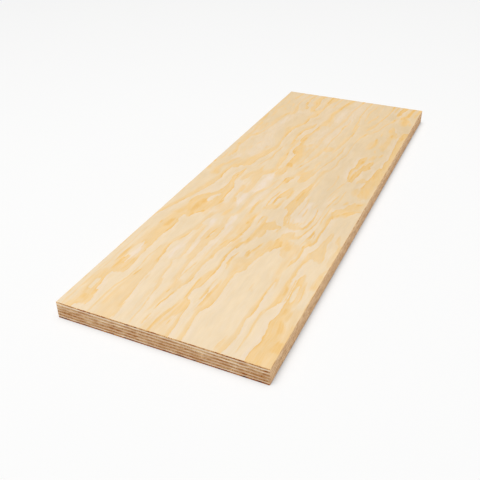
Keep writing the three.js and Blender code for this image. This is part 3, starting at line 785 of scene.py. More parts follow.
@dataclass
class Figure:
    """The figure that a peeled log shows on a sheet, as smooth fields that a material can read.

    Lengths are millimetres. Places are distances from the left long edge and from the near end.

    Attributes:
        flames: The flames, each over the ones before it.
        width: The sheet's size across the grain.
        length: Its size along the grain.
        seed: Start of its random waves.
        sway: The waves that move a flame's edge sideways.
        creep: The waves that move it along the grain.
        reach: How deep inside or outside an edge the edge field still grows.
        rims: How strong a flame is away from its sharp edge, and how wide the stronger rim beside it is. The
            first pair is for one sharp edge, and the second for two.
        soft_edge: How far into a soft flame its colour grows, as a share of its width.
        soft_gain: How strong it gets.
        soft_depth: How deep a point at a soft edge counts as being, so that no line is drawn there.
        soft_end: A soft flame's ends: the least strength, from where inside the end it grows, and how far it
            grows at most, in millimetres and as a share of the flame's length.
        sharp_end: The same for a flame with a sharp edge.
        taper: How pointed the ends are, as the depth that is gained for each millimetre along the flame.
        fringe: Between which depths the tone outside an edge grows.
        halo: How wide the whitened wood beside a sharp edge is.
        glow: How white it is.
        halo_end: How deep inside a flame's ends it starts, and where it is whole.
        denser: Stretches over which the latewood gets stronger: by how much, and from where to where.
        pull: How far from a flame's edge the fibres still follow it.
        spring: Over what length they turn straight again.
        steepest: How far they go sideways at most, for each millimetre along.
    """

    flames: Sequence[Flame]
    width: float
    length: float
    seed: int = 7
    sway: tuple[Wave, ...] = ((0.2, (9, 26)), (0.26, (3.2, 9)), (0.18, (1.4, 4)))
    creep: tuple[Wave, ...] = ((1.0, (6, 18)), (2.2, (2.0, 12)))
    reach: float = 4.0
    rims: tuple[tuple[float, float], tuple[float, float]] = ((0.82, 1.6), (0.88, 1.4))
    soft_edge: float = 0.42
    soft_gain: float = 1.1
    soft_depth: float = 2.0
    soft_end: tuple[float, float, float, float] = (0.0, 0.0, 8.0, 0.35)
    sharp_end: tuple[float, float, float, float] = (0.5, -1.0, 6.0, 0.25)
    taper: float = 0.5
    fringe: tuple[float, float] = (-2.6, -1.2)
    halo: float = 4.5
    glow: float = 0.5
    halo_end: tuple[float, float] = (-1.0, 4.0)
    denser: tuple[Point, ...] = ((0.12, 130.0, 330.0), (0.36, 440.0, 560.0))
    pull: float = 7.0
    spring: float = 120.0
    steepest: float = 0.8

    def swing(self, across: np.ndarray, along: np.ndarray) -> np.ndarray:
        """Follows the fibres, which bend as the flames do.

        Args:
            across: Each point's distance from the left long edge.
            along: Its distance from the near end.

        Returns:
            How far each point's fibre has swung from where it would be if it were straight.
        """
        step, beyond = 2.0, 10.0
        columns = np.arange(-beyond, self.width + beyond, step)
        rows = np.arange(0.0, self.length + step, step)
        slant = np.zeros((rows.size, columns.size))
        # A straight fibre has a little weight everywhere, so that far from any flame the fibres are straight.
        weight = np.full(slant.shape, 0.1)
        for flame in self.flames:
            knots, *edges = np.array(flame.stations, float).T
            beside = (rows > knots[0]) & (rows < knots[-1])
            if np.count_nonzero(beside) < 3:
                continue
            for edge in edges:
                line = through(rows[beside], knots, edge)
                hold = np.exp(-(((columns - line[:, None]) / self.pull) ** 2))
                lean = np.clip(np.gradient(line, step), -self.steepest, self.steepest)
                slant[beside] += hold * lean[:, None]
                weight[beside] += hold
        slant /= weight
        shift = np.zeros(slant.shape)
        for row in range(1, rows.size):
            carried = np.interp(columns - slant[row] * step, columns, shift[row - 1]) + slant[row] * step
            shift[row] = carried * (1.0 - step / self.spring)
        return between(shift, along / step, (across - columns[0]) / step, eased=False)

    def at(self, across: np.ndarray, along: np.ndarray) -> dict[str, np.ndarray]:
        """Finds the figure at some points.

        Args:
            across: Each point's distance from the left long edge.
            along: Its distance from the near end.

        Returns:
            For each point, by the names of the figure's fields: how far inside the nearest flame's edge it
            is, the tone there, how white the wood is, and how dull it is.
        """
        ripple = Ripple((self.width, self.length), np.random.default_rng(self.seed))
        swayed = across + ripple.total(across, along, self.sway)
        crept = along + ripple.total(across, along, self.creep)
        fields = {name: np.zeros(across.shape) for name in FIGURE_FIELDS}
        fields["edge"] -= self.reach
        for flame in self.flames:
            self.lay(flame, swayed, crept, fields)
        gains = (gain * rise(start, end, along) for gain, start, end in self.denser)
        fields["tone"] *= sum(gains, 1.0)
        fields["edge"] = np.clip(fields["edge"], -self.reach, self.reach)
        return fields

    def profile(
        self, crisp: Crisp, across: np.ndarray, left: np.ndarray, right: np.ndarray
    ) -> tuple[np.ndarray, np.ndarray]:
        """Shapes a flame across the grain.

        Args:
            crisp: Which of its edges are sharp.
            across: Each point's place across the grain.
            left: Where the flame's left edge is beside the point.
            right: Where its right edge is.

        Returns:
            How strong its colour is at each point, and how deep inside it the point counts as being.
        """
        left_in, right_in = across - left, right - across
        (one, one_rim), (two, two_rim) = self.rims
        if crisp is Crisp.BOTH:
            depth = np.minimum(left_in, right_in)
            return two + (1 - two) * np.exp(-np.maximum(depth, 0) / two_rim), depth
        share = np.clip(left_in / np.maximum(right - left, 0.3), 0.0, 1.0)
        if crisp is Crisp.NONE:
            body = self.soft_gain * rise(0, self.soft_edge, share) * rise(0, self.soft_edge, 1 - share)
            # A point counts as inside from an eighth of the full strength on.
            return body, np.minimum(8 * body - 1, self.soft_depth)
        if crisp is Crisp.LEFT:
            left_in, right_in, share = right_in, left_in, 1 - share
        # It starts softly at one edge, and is strongest in a rim along the sharp one.
        body = rise(0, 0.5, share) * (one + (1 - one) * np.exp(-np.maximum(right_in, 0) / one_rim))
        return body, np.minimum(right_in, left_in + self.soft_depth)

    def points(self, flame: Flame, along: np.ndarray) -> tuple[np.ndarray, np.ndarray]:
        """Ends a flame in points, except where it runs off the sheet.

        Args:
            flame: The flame.
            along: Each point's place along the grain.

        Returns:
            How much of its colour is left at each point, and how deep inside its ends the point counts as
            being.
        """
        first, last = flame.stations[0][0], flame.stations[-1][0]
        weakest, start, most, part = self.soft_end if flame.crisp is Crisp.NONE else self.sharp_end
        full = min(most, part * (last - first))
        fade = np.ones(along.shape)
        depth = np.full(along.shape, self.length)
        for end, inward in ((first, 1.0), (last, -1.0)):
            if 1 < end < self.length - 1:
                inside = (along - end) * inward
                depth = np.minimum(depth, inside * self.taper)
                fade *= weakest + (1 - weakest) * rise(start, full, inside)
        return fade, depth

    def lay(
        self, flame: Flame, across: np.ndarray, along: np.ndarray, fields: Mapping[str, np.ndarray]
    ) -> None:
        """Lays one flame over the fields.

        Args:
            flame: The flame.
            across: Each point's place across the grain.
            along: Its place along the grain.
            fields: The fields, which are changed.
        """
        knots, lefts, rights = np.array(flame.stations, float).T
        margin = 2 * self.reach
        near = (along > knots[0] - margin) & (along < knots[-1] + margin)
        near &= (across > lefts.min() - margin) & (across < rights.max() + margin)
        if not near.any():
            return
        x, y = across[near], along[near]
        left, right = through(y, knots, lefts), through(y, knots, rights)
        body, depth = self.profile(flame.crisp, x, left, right)
        fade, end_depth = self.points(flame, y)
        soft = flame.crisp is Crisp.NONE
        depth = np.minimum(depth, end_depth + (self.soft_depth if soft else 0))
        strength = flame.tone * body * fade

        def raise_to(name: str, values: np.ndarray) -> None:
            """Raises a field to some values where it is lower."""
            fields[name][near] = np.maximum(fields[name][near], values)

        if flame.wood is Wood.LATE:
            raise_to("tone", strength * rise(*self.fringe, depth))
            raise_to("edge", depth)
            for side, outside in ((Crisp.RIGHT, x - right), (Crisp.LEFT, left - x)):
                if flame.crisp in (side, Crisp.BOTH):
                    fall = np.exp(-((outside / self.halo) ** 2)) * (outside > 0)
                    fall *= rise(*self.halo_end, end_depth)
                    raise_to("bleach", self.glow * flame.tone * fade * fall)
        elif flame.wood is Wood.WHITE:
            raise_to("bleach", strength)
        elif flame.wood is Wood.DULL:
            raise_to("dullness", strength)
        elif soft:
            fields["tone"][near] *= 1 - strength
        else:
            fields["edge"][near] = np.minimum(fields["edge"][near], -depth)


# ---- Sizes that every layer shares ----


@dataclass(frozen=True)
class Outline:
    """The sheet's trimmed outline in plan, centred on the origin, in millimetres.

    Attributes:
        half_width: Half its size across the sheet.
        half_length: Half its size along the sheet.
        corner: Radius of its corners.
        arris: Radius of the eased edge round the face and the back.
    """

    half_width: float = 105.0
    half_length: float = 300.0
    corner: float = 0.6
    arris: float = 0.5

    def outward(self, place: Vector) -> Vector:
        """Finds the level direction that points straight out of the outline.

        Args:
            place: A point on the outline or a little inside it.

        Returns:
            A unit vector.
        """
        across, along = self.half_width - self.corner, self.half_length - self.corner
        core = Vector((max(-across, min(across, place.x)), max(-along, min(along, place.y)), 0.0))
        return (Vector((place.x, place.y, 0.0)) - core).normalized()

    def run(self, places: np.ndarray) -> tuple[np.ndarray, float]:
        """Each point's distance round the outline from its near left corner, either way, and the greatest."""
        reach = 2 * (self.half_width + self.half_length)
        return np.clip(places[:, 0] + places[:, 1] + reach / 2, 0.0, reach), reach


@dataclass
class GluePlanes:
    """How the glue lines wander as the veneers crush into each other in the press.

    Attributes:
        outline: The sheet's outline.
        swing: How far a glue line wanders up or down, in millimetres.
        waves: The waves it wanders in, as shares of that.
        seed: Start of its random waves.
    """

    outline: Outline
    swing: float = 0.11
    waves: tuple[Wave, ...] = ((0.65, (23, 9)), (0.35, (7, 9)))
    seed: int = 21

    def height(self, level: float, places: np.ndarray) -> np.ndarray:
        """Finds how high a glue line is at points of the sheet's edge.

        Args:
            level: The glue plane's nominal height, in millimetres.
            places: The points' first two coordinates, one row each.

        Returns:
            Each point's height.
        """
        source = np.random.default_rng(self.seed + round(level * 16))  # a seed of its own for each plane
        run, reach = self.outline.run(places)
        return level + self.swing * Ripple((reach, 10.0), source).total(run, np.zeros(len(run)), self.waves)


class Side(Enum):
    """A trimmed side of the sheet, as its outward direction in plan."""

    NEAR = (0, -1)
    RIGHT = (1, 0)
    FAR = (0, 1)
    LEFT = (-1, 0)


@dataclass(frozen=True)
class Stain:
    """A spot on a trimmed side where one layer is darker or paler.

    Attributes:
        side: The side it is on.
        at: Its middle, in millimetres from the sheet's left long edge or from its near end.
        reach: How far it spreads from there.
        depth: How much darker it is. Below zero it is paler.
    """

    side: Side
    at: float
    reach: float
    depth: float


def near(*spots: Point) -> tuple[Stain, ...]:
    """Stains on the near end, each given by its middle, reach and depth."""
    return tuple(Stain(Side.NEAR, *spot) for spot in spots)


# On the near end, where knots, resin and torn fibres have taken the saw's heat.
STAINS = {
    "face_veneer": near(
        (4, 4.5, -1.0), (25.5, 3.5, 0.6), (36, 1.4, 1.0), (46, 1, 0.35), (51.5, 1.3, 0.6), (61, 1.4, 0.35),
        (75.5, 1.5, 1.1), (84.5, 1.1, 1.1), (95, 0.9, 0.6), (101, 1, 0.6), (116, 9, -0.3), (157, 7, -0.4),
        (172, 3.5, 0.7), (178, 3, 0.7), (184, 1.3, 1.1), (187.5, 1.1, 1.0), (200, 6, 0.2),
    ),
    "cross_ply_1": near((12, 4, -0.2), (40, 8, -0.2), (100, 5, -0.3), (158, 6, -0.3), (192, 9, 0.5)),
    "long_ply_1": near(
        (7, 8, -0.5), (25.5, 3, 0.6), (60, 2.6, 0.8), (74, 2, 0.6), (80.5, 1.4, 0.7), (84, 1, 0.7),
        (91, 1, 0.4), (96, 1.2, 0.6), (113, 3, 1.0), (129, 5, 0.3), (141, 6, -0.8), (160, 4, 0.5),
        (175, 3, 0.4), (183.5, 3, 0.7), (205.5, 1.7, 1.3),
    ),
    "cross_ply_2": near(
        (7, 9, 0.4), (24, 12, 0.35), (45, 8, 0.3), (86, 1, -0.5), (135, 12, 0.5), (148.5, 0.8, -0.5),
        (192, 12, 0.5),
    ),
    "long_ply_2": near(
        (10, 8, -0.2), (38, 12, -0.25), (56, 6, 0.2), (70, 3, 0.5), (80.5, 3.2, 1.0), (86, 0.9, -0.6),
        (96.5, 1.2, 0.7), (110, 6, 0.3), (148.5, 1, -0.8), (155, 7, -0.4), (168, 3, 0.9), (180, 6, 0.4),
        (205, 2.4, 0.6),
    ),
    "cross_ply_3": near((10, 10, 0.4), (35, 14, 0.4), (55, 5, 0.3), (86, 1, -0.4), (148.5, 0.8, -0.4)),
    "long_ply_3": near(
        (9, 3, 0.5), (19, 4, 0.3), (40, 14, -0.3), (67.5, 3, 1.0), (78, 2.2, 0.7), (84, 2, 0.6),
        (97, 2, 0.6), (118, 5, 0.2), (150, 8, -0.3), (172, 3.5, 0.6), (195, 6, 0.2),
    ),
    "cross_ply_4": near((12, 8, 0.4), (36, 12, 0.2), (60, 5, 0.1), (86, 1.4, -0.5), (120, 4, -0.2)),
    "long_ply_4": near(
        (2, 3, 0.3), (15, 2.4, 0.8), (30, 5, 0.3), (48, 4, 0.2), (78, 2, 0.5), (86.5, 2, 0.5), (97, 4, 0.3),
        (128, 3, 0.4), (136.5, 2.6, 1.1), (144, 3, 0.5), (166, 4, 0.3), (187, 3, 0.8), (203, 2.4, 0.5),
    ),
    "cross_ply_5": near((6, 4, -0.2), (26, 6, 0.2), (66, 6, -0.2), (133, 4, -0.4), (170, 8, -0.2)),
    "back_veneer": near(
        (4, 3, 0.6), (14, 3, 0.3), (21, 2, 0.5), (30.5, 1.9, 1.2), (45, 3, 0.5), (58, 3, 0.2), (73, 3, 0.7),
        (79, 2, 0.7), (88, 2, 0.5), (97, 1, 0.3), (116, 2, 0.4), (128, 3, 0.5), (135.5, 1.5, 0.8),
        (140.5, 1.8, 1.2), (151, 2, 0.7), (165, 3, 0.3), (177, 2, 0.4), (188, 1.4, 0.9), (200, 1.5, 0.6),
    ),
}

# How much darker a whole layer's edge is. Below zero it is paler.
LAYER_TONES = {
    "cross_ply_1": -0.75,
    "long_ply_1": -0.45,
    "cross_ply_2": -0.4,
    "long_ply_2": -0.32,
    "cross_ply_3": 0.25,
    "long_ply_3": -0.15,
    "cross_ply_4": 0.2,
    "cross_ply_5": -0.05,
    "back_veneer": 0.35,
}

# ---- Finishes ----


class Grain(Enum):
    """Which way a layer's grain runs, and the axis along it."""

    ALONG = "Y"
    ACROSS = "X"


@dataclass(frozen=True)
class SawnEdge:
    """The trimmed edge of a layer: end grain where the saw cut across its fibres, side grain elsewhere.

    End grain drinks light, so it is brown and shows flecks and lathe checks. Side grain stays pale and shows
    long fibres. Lengths are in millimetres.

    Attributes:
        end_deep: End grain colour in the densest rings.
        end_light: End grain colour in the open rings.
        side_deep: Side grain colour in its darkest fibres.
        side_light: Side grain colour in its palest fibres.
        glue: Colour of the phenolic glue line.
        glued: How much a glue line shows.
        stained: How much a stain of depth 1 darkens the edge. The right side's painted light falloff is
            scaled
        by it too.
        turn: How squarely the fibres meet a side where end grain starts to show, and where only it shows.
        middle: How far the colour is on its way from deep to light on average, for end and side grain.
        scorch: The patches that the saw has heated, which run through several layers. Each pattern is given
            by its strength and its size.
        wave: The slow changes of colour along an edge.
        fleck: The flecks in end grain.
        check: The lathe checks in end grain.
        fibre: Bundles of fibres in side grain, as coarse as they must be to show: their strength, length and
            thickness.
        splinter: The short torn fibres between them.
        roughness: The sawn surface's roughness.
        fuzz: Size of the tufts that the saw leaves.
        fuzz_depth: How deep they are.
    """

    end_deep: str
    end_light: str
    side_deep: str
    side_light: str
    glue: str = "7A4E2C"
    glued: float = 0.6
    stained: float = 0.6
    turn: tuple[float, float] = (0.45, 0.85)
    middle: tuple[float, float] = (0.5, 0.6)
    scorch: tuple[float, Point] = (1.5, (13.0, 13.0, 8.0))
    wave: tuple[float, Point] = (1.9, (8.0, 8.0, 1.1))
    fleck: tuple[float, Point] = (2.4, (3.0, 3.0, 0.8))
    check: tuple[float, Point] = (3.0, (1.0, 1.0, 2.4))
    fibre: Point = (1.9, 14.0, 0.45)
    splinter: Point = (1.6, 5.0, 0.6)
    roughness: float = 0.8
    fuzz: Point = (0.7, 0.7, 0.4)
    fuzz_depth: float = 0.06

    def mixed(
        self,
        tree: ShaderNodeTree,
        colours: tuple[str, str],
        middle: float,
        parts: Sequence[tuple[float, NodeSocket]],
    ) -> NodeSocket:
        """Mixes a deep and a light colour by a sum of patterns.

        Args:
            tree: The material's tree.
            colours: The deep and the light colour.
            middle: How light the wood is where every pattern is zero.
            parts: Each pattern's strength, and the pattern.

        Returns:
            The colour.
        """
        share = middle
        for strength, pattern in parts:
            share = add_node(tree, "Math", SCALE_ADD, {0: pattern, 1: strength, 2: share})
        ends = {"Factor": share, 6: linear(colours[0]), 7: linear(colours[1])}
        return add_node(tree, "Mix", COLOURS | {"clamp_factor": False}, ends, output=2)

    def colour(self, tree: ShaderNodeTree, grain: Grain) -> NodeSocket:
        """Adds the nodes that colour a layer's edge.

        Args:
            tree: The material's tree.
            grain: Which way the layer's grain runs.

        Returns:
            The colour.
        """
        place = add_node(tree, "TexCoord", output="Object")
        normal = add_node(tree, "NewGeometry", output="Normal")
        facing = add_node(tree, "SeparateXYZ", inputs={0: normal}, output=grain.value)
        end_on = add_node(tree, "Math", {"operation": "ABSOLUTE"}, {0: facing})
        end_share = add_node(tree, "MapRange", EASED, {0: end_on, 1: self.turn[0], 2: self.turn[1]})
        # The stain field also holds the right side's painted light falloff.
        stain = add_node(tree, "Attribute", {"attribute_name": "stain"}, output="Fac")
        shared = [(-self.stained, stain)]
        shared += [(strength, patches(tree, place, cell)) for strength, cell in (self.scorch, self.wave)]
        flecks = [
            (self.fleck[0], patches(tree, place, self.fleck[1])),
            (self.check[0], patches(tree, place, self.check[1], 3.0)),
        ]
        end_grain = self.mixed(tree, (self.end_deep, self.end_light), self.middle[0], shared + flecks)
        threads = []
        for strength, long, thick in (self.fibre, self.splinter):
            cell = (thick, long, thick) if grain is Grain.ALONG else (long, thick, thick)
            threads.append((strength, patches(tree, place, cell)))
        side_grain = self.mixed(tree, (self.side_deep, self.side_light), self.middle[1], shared + threads)
        wood = add_node(tree, "Mix", COLOURS, {"Factor": end_share, 6: side_grain, 7: end_grain}, output=2)
        seam = add_node(tree, "Attribute", {"attribute_name": "seam"}, output="Fac")
        seam = add_node(tree, "Math", MULTIPLY, {0: seam, 1: self.glued})
        return add_node(tree, "Mix", COLOURS, {"Factor": seam, 6: wood, 7: linear(self.glue)}, output=2)


# Sawn across, the long plies are brown. The saw runs along their fibres on the long sides.
LONG_EDGE = SawnEdge(end_deep="B07138", end_light="D8AB79", side_deep="DAAC7E", side_light="F7D2A6")
# The cross plies show pale side grain on the ends, and denser end grain on the long sides.
CROSS_EDGE = SawnEdge(end_deep="D4A476", end_light="F4CC9E", side_deep="D0A77E", side_light="F4DBBC")
# The outer veneers' edges are the same wood, but the saw broke in and out there and burnt them more.
FACE_EDGE = SawnEdge(
    end_deep="AA6622", end_light="E8BA82", side_deep="DCA062", side_light="FFD9A2", stained=1.1
)
BACK_EDGE = SawnEdge(
    end_deep="A85C00", end_light="E8A030", side_deep="E0B288", side_light="FAD8B0", stained=1.1
)


def background_rays(tree: ShaderNodeTree) -> NodeSocket:
    """Adds the nodes that tell rays which see the background from rays which light the object.

    Args:
        tree: The material's or the world's tree.

    Returns:
        1 for the camera's rays and for rays off gloss or through glass, or 0 for the rest.
    """
    rays = 0.0
    for kind in ("Is Camera Ray", "Is Glossy Ray", "Is Transmission Ray"):
        seen = add_node(tree, "LightPath", output=kind)
        rays = add_node(tree, "Math", {"operation": "MAXIMUM"}, {0: rays, 1: seen})
    return rays


def new_tree(name: str) -> tuple[Material, ShaderNodeTree]:
    """Makes a material with an empty node tree.

    Args:
        name: The material's name.

    Returns:
        The material, and its tree.
    """
    material = bpy.data.materials.new(name)
    material.use_nodes = True
    material.node_tree.nodes.clear()
    return material, material.node_tree


def surface(
    tree: ShaderNodeTree, colour: NodeSocket, roughness: float, bump: NodeSocket, depth: float
) -> None:
    """Adds a wood surface and the material's output.

    Args:
        tree: The material's tree.
        colour: The surface's colour.
        roughness: Its roughness.
        bump: Its height at each place, where 1 is the bump's whole depth.
        depth: That depth, in millimetres.
    """
    relief = add_node(tree, "Bump", inputs={"Strength": 1.0, "Distance": depth * MM, "Height": bump})
    look = {"Base Color": colour, "Roughness": roughness, "IOR": WOOD_IOR, "Specular IOR Level": WOOD_GLOSS}
    wood = add_node(tree, "BsdfPrincipled", inputs=look | {"Normal": relief})
    add_node(tree, "OutputMaterial", inputs={"Surface": wood})


@dataclass(frozen=True)
class SandedPine:
    """Sanded rotary-cut pine, bare: cream earlywood, gold latewood flames and fine fibres, matt.

    Each latewood flame ends at a sharp edge with a darker line inside it and whiter wood outside. Lengths are
    in millimetres. A pattern of streaks is given by its strength, width and length.

    Attributes:
        white: The whitest earlywood.
        cream: Plain earlywood at the near end.
        mellow_and_shaded: Plain earlywood at the far end. It is partly a mellower wood and partly painted
            shade, where the light falls off away from the near end.
        mellow_and_shade_span: Where that colour starts and where it is complete, from the sheet's middle.
        gold: Latewood of the first of its tones.
        deep: Latewood of the second.
        tones: Those two tones.
        blur: Half the width of a flame's sharp edge.
        jag: How the fibres jag a sharp edge.
        rim: Width of the darker line inside a sharp edge.
        rim_depth: How much darker it is.
        band: How the latewood varies inside a flame.
        level: How strong it is there on average.
        haze: Faint streaks everywhere. The last are bundles of fibres, as coarse as they must be to show.
        thinning: How much whiter the wood is where the haze is thin.
        cloud: Slow changes of light and dark.
        greyed: How much darker the dullest wood is.
        roughness: The sanded surface's roughness.
        scratch: Width and length of the fine scratches and open fibres.
        scratch_depth: How deep they are.
        ragged: How the sanded colour breaks up at the lower end of the arris.
    """

    white: str = "F3E1CD"
    cream: str = "F2DCBA"
    mellow_and_shaded: str = "EBD1A9"
    mellow_and_shade_span: tuple[float, float] = (-250.0, 200.0)
    gold: str = "F3CE93"
    deep: str = "F0C279"
    tones: tuple[float, float] = (0.8, 1.2)
    blur: float = 0.3
    jag: Point = (3.0, 0.9, 6.0)
    rim: float = 1.6
    rim_depth: float = 0.26
    band: Point = (0.65, 1.8, 14.0)
    level: float = 0.98
    haze: tuple[Point, ...] = ((0.25, 7.0, 34.0), (0.18, 2.8, 18.0), (0.45, 1.2, 12.0))
    thinning: float = 1.5
    cloud: Point = (0.15, 5.0, 22.0)
    greyed: float = 0.1
    roughness: float = 0.62
    scratch: tuple[float, float] = (0.5, 9.0)
    scratch_depth: float = 0.02
    ragged: Point = (0.5, 1.0, 1.0)

    def streaks(self, tree: ShaderNodeTree, across: float, along: float, detail: float = 1.0) -> NodeSocket:
        """Adds patches that are drawn out along the fibres and bend with them.

        Args:
            tree: The material's tree.
            across: Their width, in millimetres.
            along: Their length.
            detail: How many finer layers they have.

        Returns:
            Their strength, from -0.5 to 0.5.
        """
        place = add_node(tree, "TexCoord", output="Object")
        swing = add_node(tree, "Attribute", {"attribute_name": "swing"}, output="Fac")
        aside = add_node(tree, "CombineXYZ", inputs={"X": swing})
        straight = add_node(tree, "VectorMath", SCALE_ADD, {0: aside, 1: (-MM, 0.0, 0.0), 2: place})
        return patches(tree, straight, (across, along, across), detail)

    def streaked(
        self, tree: ShaderNodeTree, level: float | NodeSocket, pattern: Point, detail: float = 1.0
    ) -> NodeSocket:
        """Adds a pattern of streaks to a level.

        Args:
            tree: The material's tree.
            level: The level.
            pattern: The streaks' strength, width and length.
            detail: How many finer layers they have.

        Returns:
            The uneven level.
        """
        strength, across, along = pattern
        streaks = self.streaks(tree, across, along, detail)
        return add_node(tree, "Math", SCALE_ADD, {0: streaks, 1: strength, 2: level})

    def latewood(self, tree: ShaderNodeTree, edge: NodeSocket, tone: NodeSocket) -> NodeSocket:
        """Adds the nodes that say how much latewood shows.

        Args:
            tree: The material's tree.
            edge: How far inside a flame's edge a point is, in millimetres.
            tone: How strong the flame is there.

        Returns:
            The latewood's tone.
        """
        edge = self.streaked(tree, edge, self.jag, 2.0)
        inside = add_node(tree, "MapRange", EASED, {0: edge, 1: -self.blur, 2: self.blur})
        line = {0: edge, 1: 0.4 * self.rim, 2: self.rim, 3: self.rim_depth, 4: 0.0}
        rim = add_node(tree, "MapRange", EASED, line)
        body = self.streaked(tree, self.level, self.band, 2.0)
        body = add_node(tree, "Math", ADD, {0: body, 1: rim})
        body = add_node(tree, "Math", MULTIPLY, {0: body, 1: inside})
        return add_node(tree, "Math", MULTIPLY, {0: body, 1: tone})

    def colour(self, tree: ShaderNodeTree, figure: Sequence[NodeSocket]) -> NodeSocket:
        """Adds the nodes that colour the sanded wood.

        Args:
            tree: The material's tree.
            figure: The fields that a figure gives, in its order.

        Returns:
            The colour.
        """
        edge, tone, bleach, dullness = figure
        late = self.latewood(tree, edge, tone)
        warmth = 0.0
        for pattern in self.haze:
            warmth = self.streaked(tree, warmth, pattern)
        place = add_node(tree, "TexCoord", output="Object")
        along = add_node(tree, "SeparateXYZ", inputs={0: place}, output="Y")
        late = add_node(tree, "Math", ADD, {0: late, 1: warmth})
        whiter = add_node(tree, "Math", SCALE_ADD, {0: warmth, 1: -self.thinning, 2: bleach})
        # Partly painted shade: the plain wood is painted darker towards the far end, where light falls off.
        start, complete = (distance * MM for distance in self.mellow_and_shade_span)
        first, second = self.tones
        wood = linear(self.cream)
        for share, colour in (
            (add_node(tree, "MapRange", inputs={0: along, 1: start, 2: complete}), self.mellow_and_shaded),
            (whiter, self.white),
            (add_node(tree, "MapRange", inputs={0: late, 1: 0.0, 2: first}), self.gold),
            (add_node(tree, "MapRange", inputs={0: late, 1: first, 2: second}), self.deep),
        ):
            wood = add_node(tree, "Mix", COLOURS, {"Factor": share, 6: wood, 7: linear(colour)}, output=2)
        light = self.streaked(tree, 1.0, self.cloud, 3.0)
        light = add_node(tree, "Math", SCALE_ADD, {0: dullness, 1: -self.greyed, 2: light})
        return add_node(tree, "VectorMath", {"operation": "SCALE"}, {0: wood, "Scale": light})

    def over_edge(self, tree: ShaderNodeTree, face: NodeSocket, edge: NodeSocket) -> NodeSocket:
        """Joins the sanded face to the sawn edge at the lower end of the eased arris.

        Args:
            tree: The material's tree.
            face: The sanded wood's colour.
            edge: The sawn edge's colour.

        Returns:
            The colour of the whole veneer.
        """
        sanded = add_node(tree, "Attribute", {"attribute_name": "sanded"}, output="Fac")
        sanded = self.streaked(tree, sanded, self.ragged, 2.0)
        sanded = add_node(tree, "MapRange", EASED, {0: sanded, 1: 0.35, 2: 0.65})
        return add_node(tree, "Mix", COLOURS, {"Factor": sanded, 6: edge, 7: face}, output=2)


# ---- Layers ----


def as_piece(name: str, node: str, mesh: Mesh) -> Object:
    """Puts a finished mesh in the scene, in place of its CAD node.

    Args:
        name: The piece's name.
        node: The CAD node it stands for.
        mesh: The mesh, in place and in metres.

    Returns:
        The piece.
    """
    piece = bpy.data.objects.new(name, mesh)
    bpy.context.scene.collection.objects.link(piece)
    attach(piece, BODY)
    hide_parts(node)
    return piece


